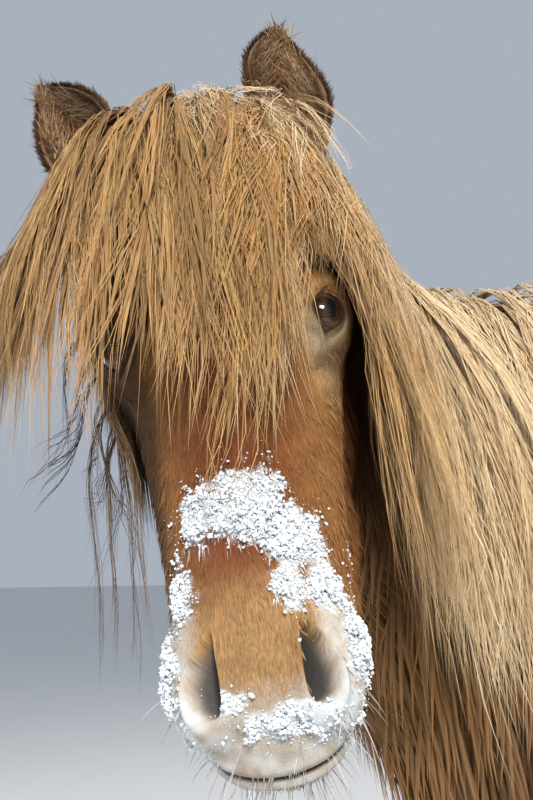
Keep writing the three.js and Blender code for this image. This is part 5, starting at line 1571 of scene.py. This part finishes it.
WISPS = dict(
    ear_wisps=dict(count=36, at=(0.052, -0.045, -0.004), wide=(0.026, 0.016, 0.01),
                   start=(0.05, 0.85, -0.45), pull=(0.24, 0.2, 1.0),
                   length=0.22, turn=0.3, lift=0.02, marks=(0.05, 0.95, 0.0)),
    poll_wisps=dict(count=40, at=(0.022, -0.05, -0.006), wide=(0.026, 0.02, 0.01),
                    start=(0.0, 0.45, -0.95), pull=(0.26, 0.25, 1.0),
                    length=0.22, turn=0.24, lift=0.036, marks=(0.05, 0.85, 0.05)),
    # Painted shade: strands of long hair on the far side of the head, painted dark
    shaded_cheek_strands=dict(count=12, at=(-0.072, -0.105, 0.15), wide=(0.004, 0.016, 0.04),
                       start=(-0.35, 0.0, 0.6), pull=(0.12, -0.1, 1.0),
                       length=0.24, turn=0.25, lift=0.01, marks=(0.25, 0.0, 0.8)),
)


def make_wisps():
    """A loose, pale, curling tuft by the root of the left ear, and strands behind the right cheek painted
    dark as painted shade.
    """
    for name, tuft in WISPS.items():
        count = tuft["count"]
        inside = from_head(np.array(tuft["at"]) + rng.uniform(-1, 1, (count, 3)) * tuft["wide"])
        way = unit(turn_out(np.array(tuft["start"]) + rng.normal(0, 0.2, (count, 3))))
        root = on_coat(inside, way, 0.01)
        bend = turn_out(np.array(tuft["pull"]) + rng.normal(0, 0.2, (count, 3)))
        phase, turns = rng.uniform(0, 6.3, (count, 1)), rng.uniform(3, 9, (count, 1))
        side = turn_out(rng.normal(0, 0.4, (count, 3)))

        def pull(p, t):
            return unit(bend + DOWN * 0.9 * t + side * np.sin(phase + turns * t))

        size = tuft["length"] * rng.uniform(0.55, 1.15, count)
        lift = tuft["lift"] * rng.uniform(0.2, 1, count)
        path, up = draped(root, way, size, lift, pull, turn=tuft["turn"])
        path, up, _ = kept_clear(path, up, 0.016)
        red, pale, dark = [held(value * rng.uniform(0.6, 1.25, len(path))) for value in tuft["marks"]]
        colours = dict(red=red, pale=pale, dark=dark)
        fringe_hairs(name, path, up, 12, 0.007, 0.6, 0.014, 0.001, colours, steps=10, shortest=0.5,
                     lock=0.15)


def dock_distance(p):
    """Signed distance to the dock alone."""
    return rods_distance(p, DOCK, 1, 0.0, np.full(len(p), FAR))


def make_tail():
    """Locks that leave the dock all along and hang to near the floor."""
    count = TAIL_LOCKS
    index = np.arange(count)
    t = 0.16 + 0.82 * ((index + 0.5) / count) ** 1.15
    turn = index * GOLDEN_TURN
    first = smooth(0.5, 0.22, t)
    back = 0.12 + 0.5 * first + 0.8 * np.cos(turn) * (1 - 0.7 * first)
    way = unit(vectors(np.sin(turn) * (1 - 0.4 * first), back, 0.1 + 0.3 * first))
    root = line_at([DOCK[0]["a"]] + [one["b"] for one in DOCK], t)
    length = (root[:, 2] - TAIL_TIP) * rng.uniform(0.66, 1.05, count)
    sway, phase = rng.uniform(0.02, 0.16, count), rng.uniform(0, 6.3, count)

    def pull(p, s):
        side = p[:, 0] * 2.4 * (1 - 2 * s) + sway * np.sin(phase + s * 6)
        return unit(vectors(side, 0.03 - 0.1 * s, -1.0))

    start = way * 0.8 + np.array([0, 0.2, -0.5]) * smooth(0.15, 0.5, t)[:, None] + [0, 0.15, 0]
    lift = rng.uniform(0.004, 0.012, count)
    path, up = draped(root, start, length, lift, pull, 44, 0.3, dock_distance)
    colours = dict(red=0.15 * rng.uniform(0, 1, count), pale=rng.uniform(0.45, 0.95, count),
                   dark=0.25 * rng.uniform(0, 1, count) ** 2)
    fringe_hairs("tail", path, up, 9, 0.013, 0.6, 0.016, 0.0024, colours, shortest=0.72, lock=0.9)


# Fine hairs of the face, and snow
WHISKERS, LASHES, SNOW_GRAINS = 190, 70, 15500  # LASHES to each eye


def make_whiskers(points, faces):
    """Long single hairs from the lips and chin, some of them white with rime."""
    middle = to_head(points[faces].mean(axis=1))
    low = smooth(0.47, 0.52, middle[:, 2]) * smooth(-0.02, -0.06, middle[:, 1])
    low = low * (head_distance(points[faces[:, 0]], 0.0) < 0.01)
    root = scattered(points, faces, low, WHISKERS)
    normal = unit(slope(root, flesh)[1])
    size = rng.uniform(0.01, 0.034, len(root))
    way = unit(normal + 0.35 * DOWN + rng.normal(0, 0.25, (len(root), 3)))
    t = np.linspace(0, 1, 6)[None, :, None]
    path = root[:, None] - normal[:, None] * 0.002 + way[:, None] * size[:, None, None] * t
    path = path + DOWN * (0.35 * size)[:, None, None] * t ** 2
    up = np.broadcast_to(normal[:, None], path.shape)
    marks = dict(red=0.0, pale=0.5, dark=rng.uniform(0, 0.7, len(root)),
                 frost=rng.uniform(0.1, 0.9, len(root)), tone=rng.uniform(0.3, 1, len(root)))
    wide = np.full(len(root), 0.0006)
    make_hair("whiskers", path, up, wide, 0.8, chart(root, np.full(len(root), ON_HEAD)), COAT, marks)


def make_lashes():
    """A row of lashes along each upper lid that leave its rim outwards and curve down."""
    count = LASHES
    paths, ups = [], []
    for side in (1, -1):
        centre, long, short, look = eye_frame(side)
        upper = -1 if short[1] * 0.6 - short[2] < 0 else 1
        angle = upper * np.linspace(0.12, 0.88, count) * pi
        a, b = lid_outline(angle)
        c = np.sqrt((EYE["radius"] + 0.002) ** 2 - a * a - b * b)
        root = centre + a[:, None] * long + b[:, None] * short + c[:, None] * look
        size = rng.uniform(0.01, 0.017, count)[:, None, None]
        fan = (a / EYE["long"] * 0.5 + rng.normal(0, 0.08, count))[:, None]
        way = unit(look + short * upper * 0.35 + long * fan)
        t = np.linspace(0, 1, 6)[None, :, None]
        path = root[:, None] + way[:, None] * size * t - (short * upper * 0.6) * size * t ** 2
        paths.append(from_head(path))
        ups.append(np.broadcast_to(turn_out(short * upper), path.shape))
    path, up = np.concatenate(paths), np.concatenate(ups)
    marks = dict(red=0.4, pale=0.2, dark=rng.uniform(0.4, 0.9, 2 * count), frost=0.0,
                 tone=rng.uniform(0, 1, 2 * count))
    place = chart(path[:, 0], np.full(2 * count, ON_HEAD))
    make_hair("lashes", path, up, np.full(2 * count, 0.0007), 0.8, place, COAT, marks)


def grain_of_snow():
    """Eight triangles between the ends of three crossed axes."""
    points = np.array([(1, 0, 0), (-1, 0, 0), (0, 1, 0), (0, -1, 0), (0, 0, 1), (0, 0, -1)], float)
    top = [(0, 2, 4), (2, 1, 4), (1, 3, 4), (3, 0, 4)]
    return points, np.array(top + [(b, a, 5) for a, b, _ in top])


def make_snow(points, faces):
    """Powder in clumps on the muzzle, thickest where the patches are, and loose grains about them."""
    grain_points, grain_faces = grain_of_snow()
    middle = points[faces].mean(axis=1)
    cover = ragged_snow(middle)
    weight = smooth(0.42, 0.8, cover) * ~bare(middle) + 0.05 * smooth(0.12, 0.4, cover)
    weight = weight * (snow_cover(to_head(middle)) > 0.05) * (head_distance(middle, 0.0) < 0.01)
    count = SNOW_GRAINS
    root = scattered(points, faces, weight, count)
    normal = unit(slope(root, flesh)[1])
    depth = snow_cover(to_head(root)) * smooth(0.15, 0.75, mottle(root, 0.01, 7))
    size = (0.0005 + 0.0016 * rng.uniform(0, 1, count) ** 3) * (0.7 + 0.6 * depth)
    centre = root + normal * (0.0005 + rng.uniform(0, 0.008, count) * (0.12 + depth))[:, None]
    turn = unit(rng.normal(0, 1, (count, 3)))
    side = unit(np.cross(turn, normal + 0.01))
    axes = np.stack([turn, side, np.cross(turn, side)], 1)
    rough = rng.uniform(0.6, 1.4, (count, 6, 1)) * size[:, None, None]
    grains = centre[:, None] + (grain_points @ axes) * rough
    every = repeated(grain_faces, count, len(grain_points))
    make_piece("snow_on_muzzle", grains.reshape(-1, 3), [every], SNOW_POWDER, rounded=False)


make_camera()
make_studio()
skin_points, skin_faces = make_skin()
make_eyelids()
make_eyes()
make_ears()
make_hooves()
make_coat(skin_points, skin_faces)
make_whiskers(skin_points, skin_faces)
make_lashes()
make_forelock()
make_mane()
make_wisps()
make_tail()
make_snow(skin_points, skin_faces)
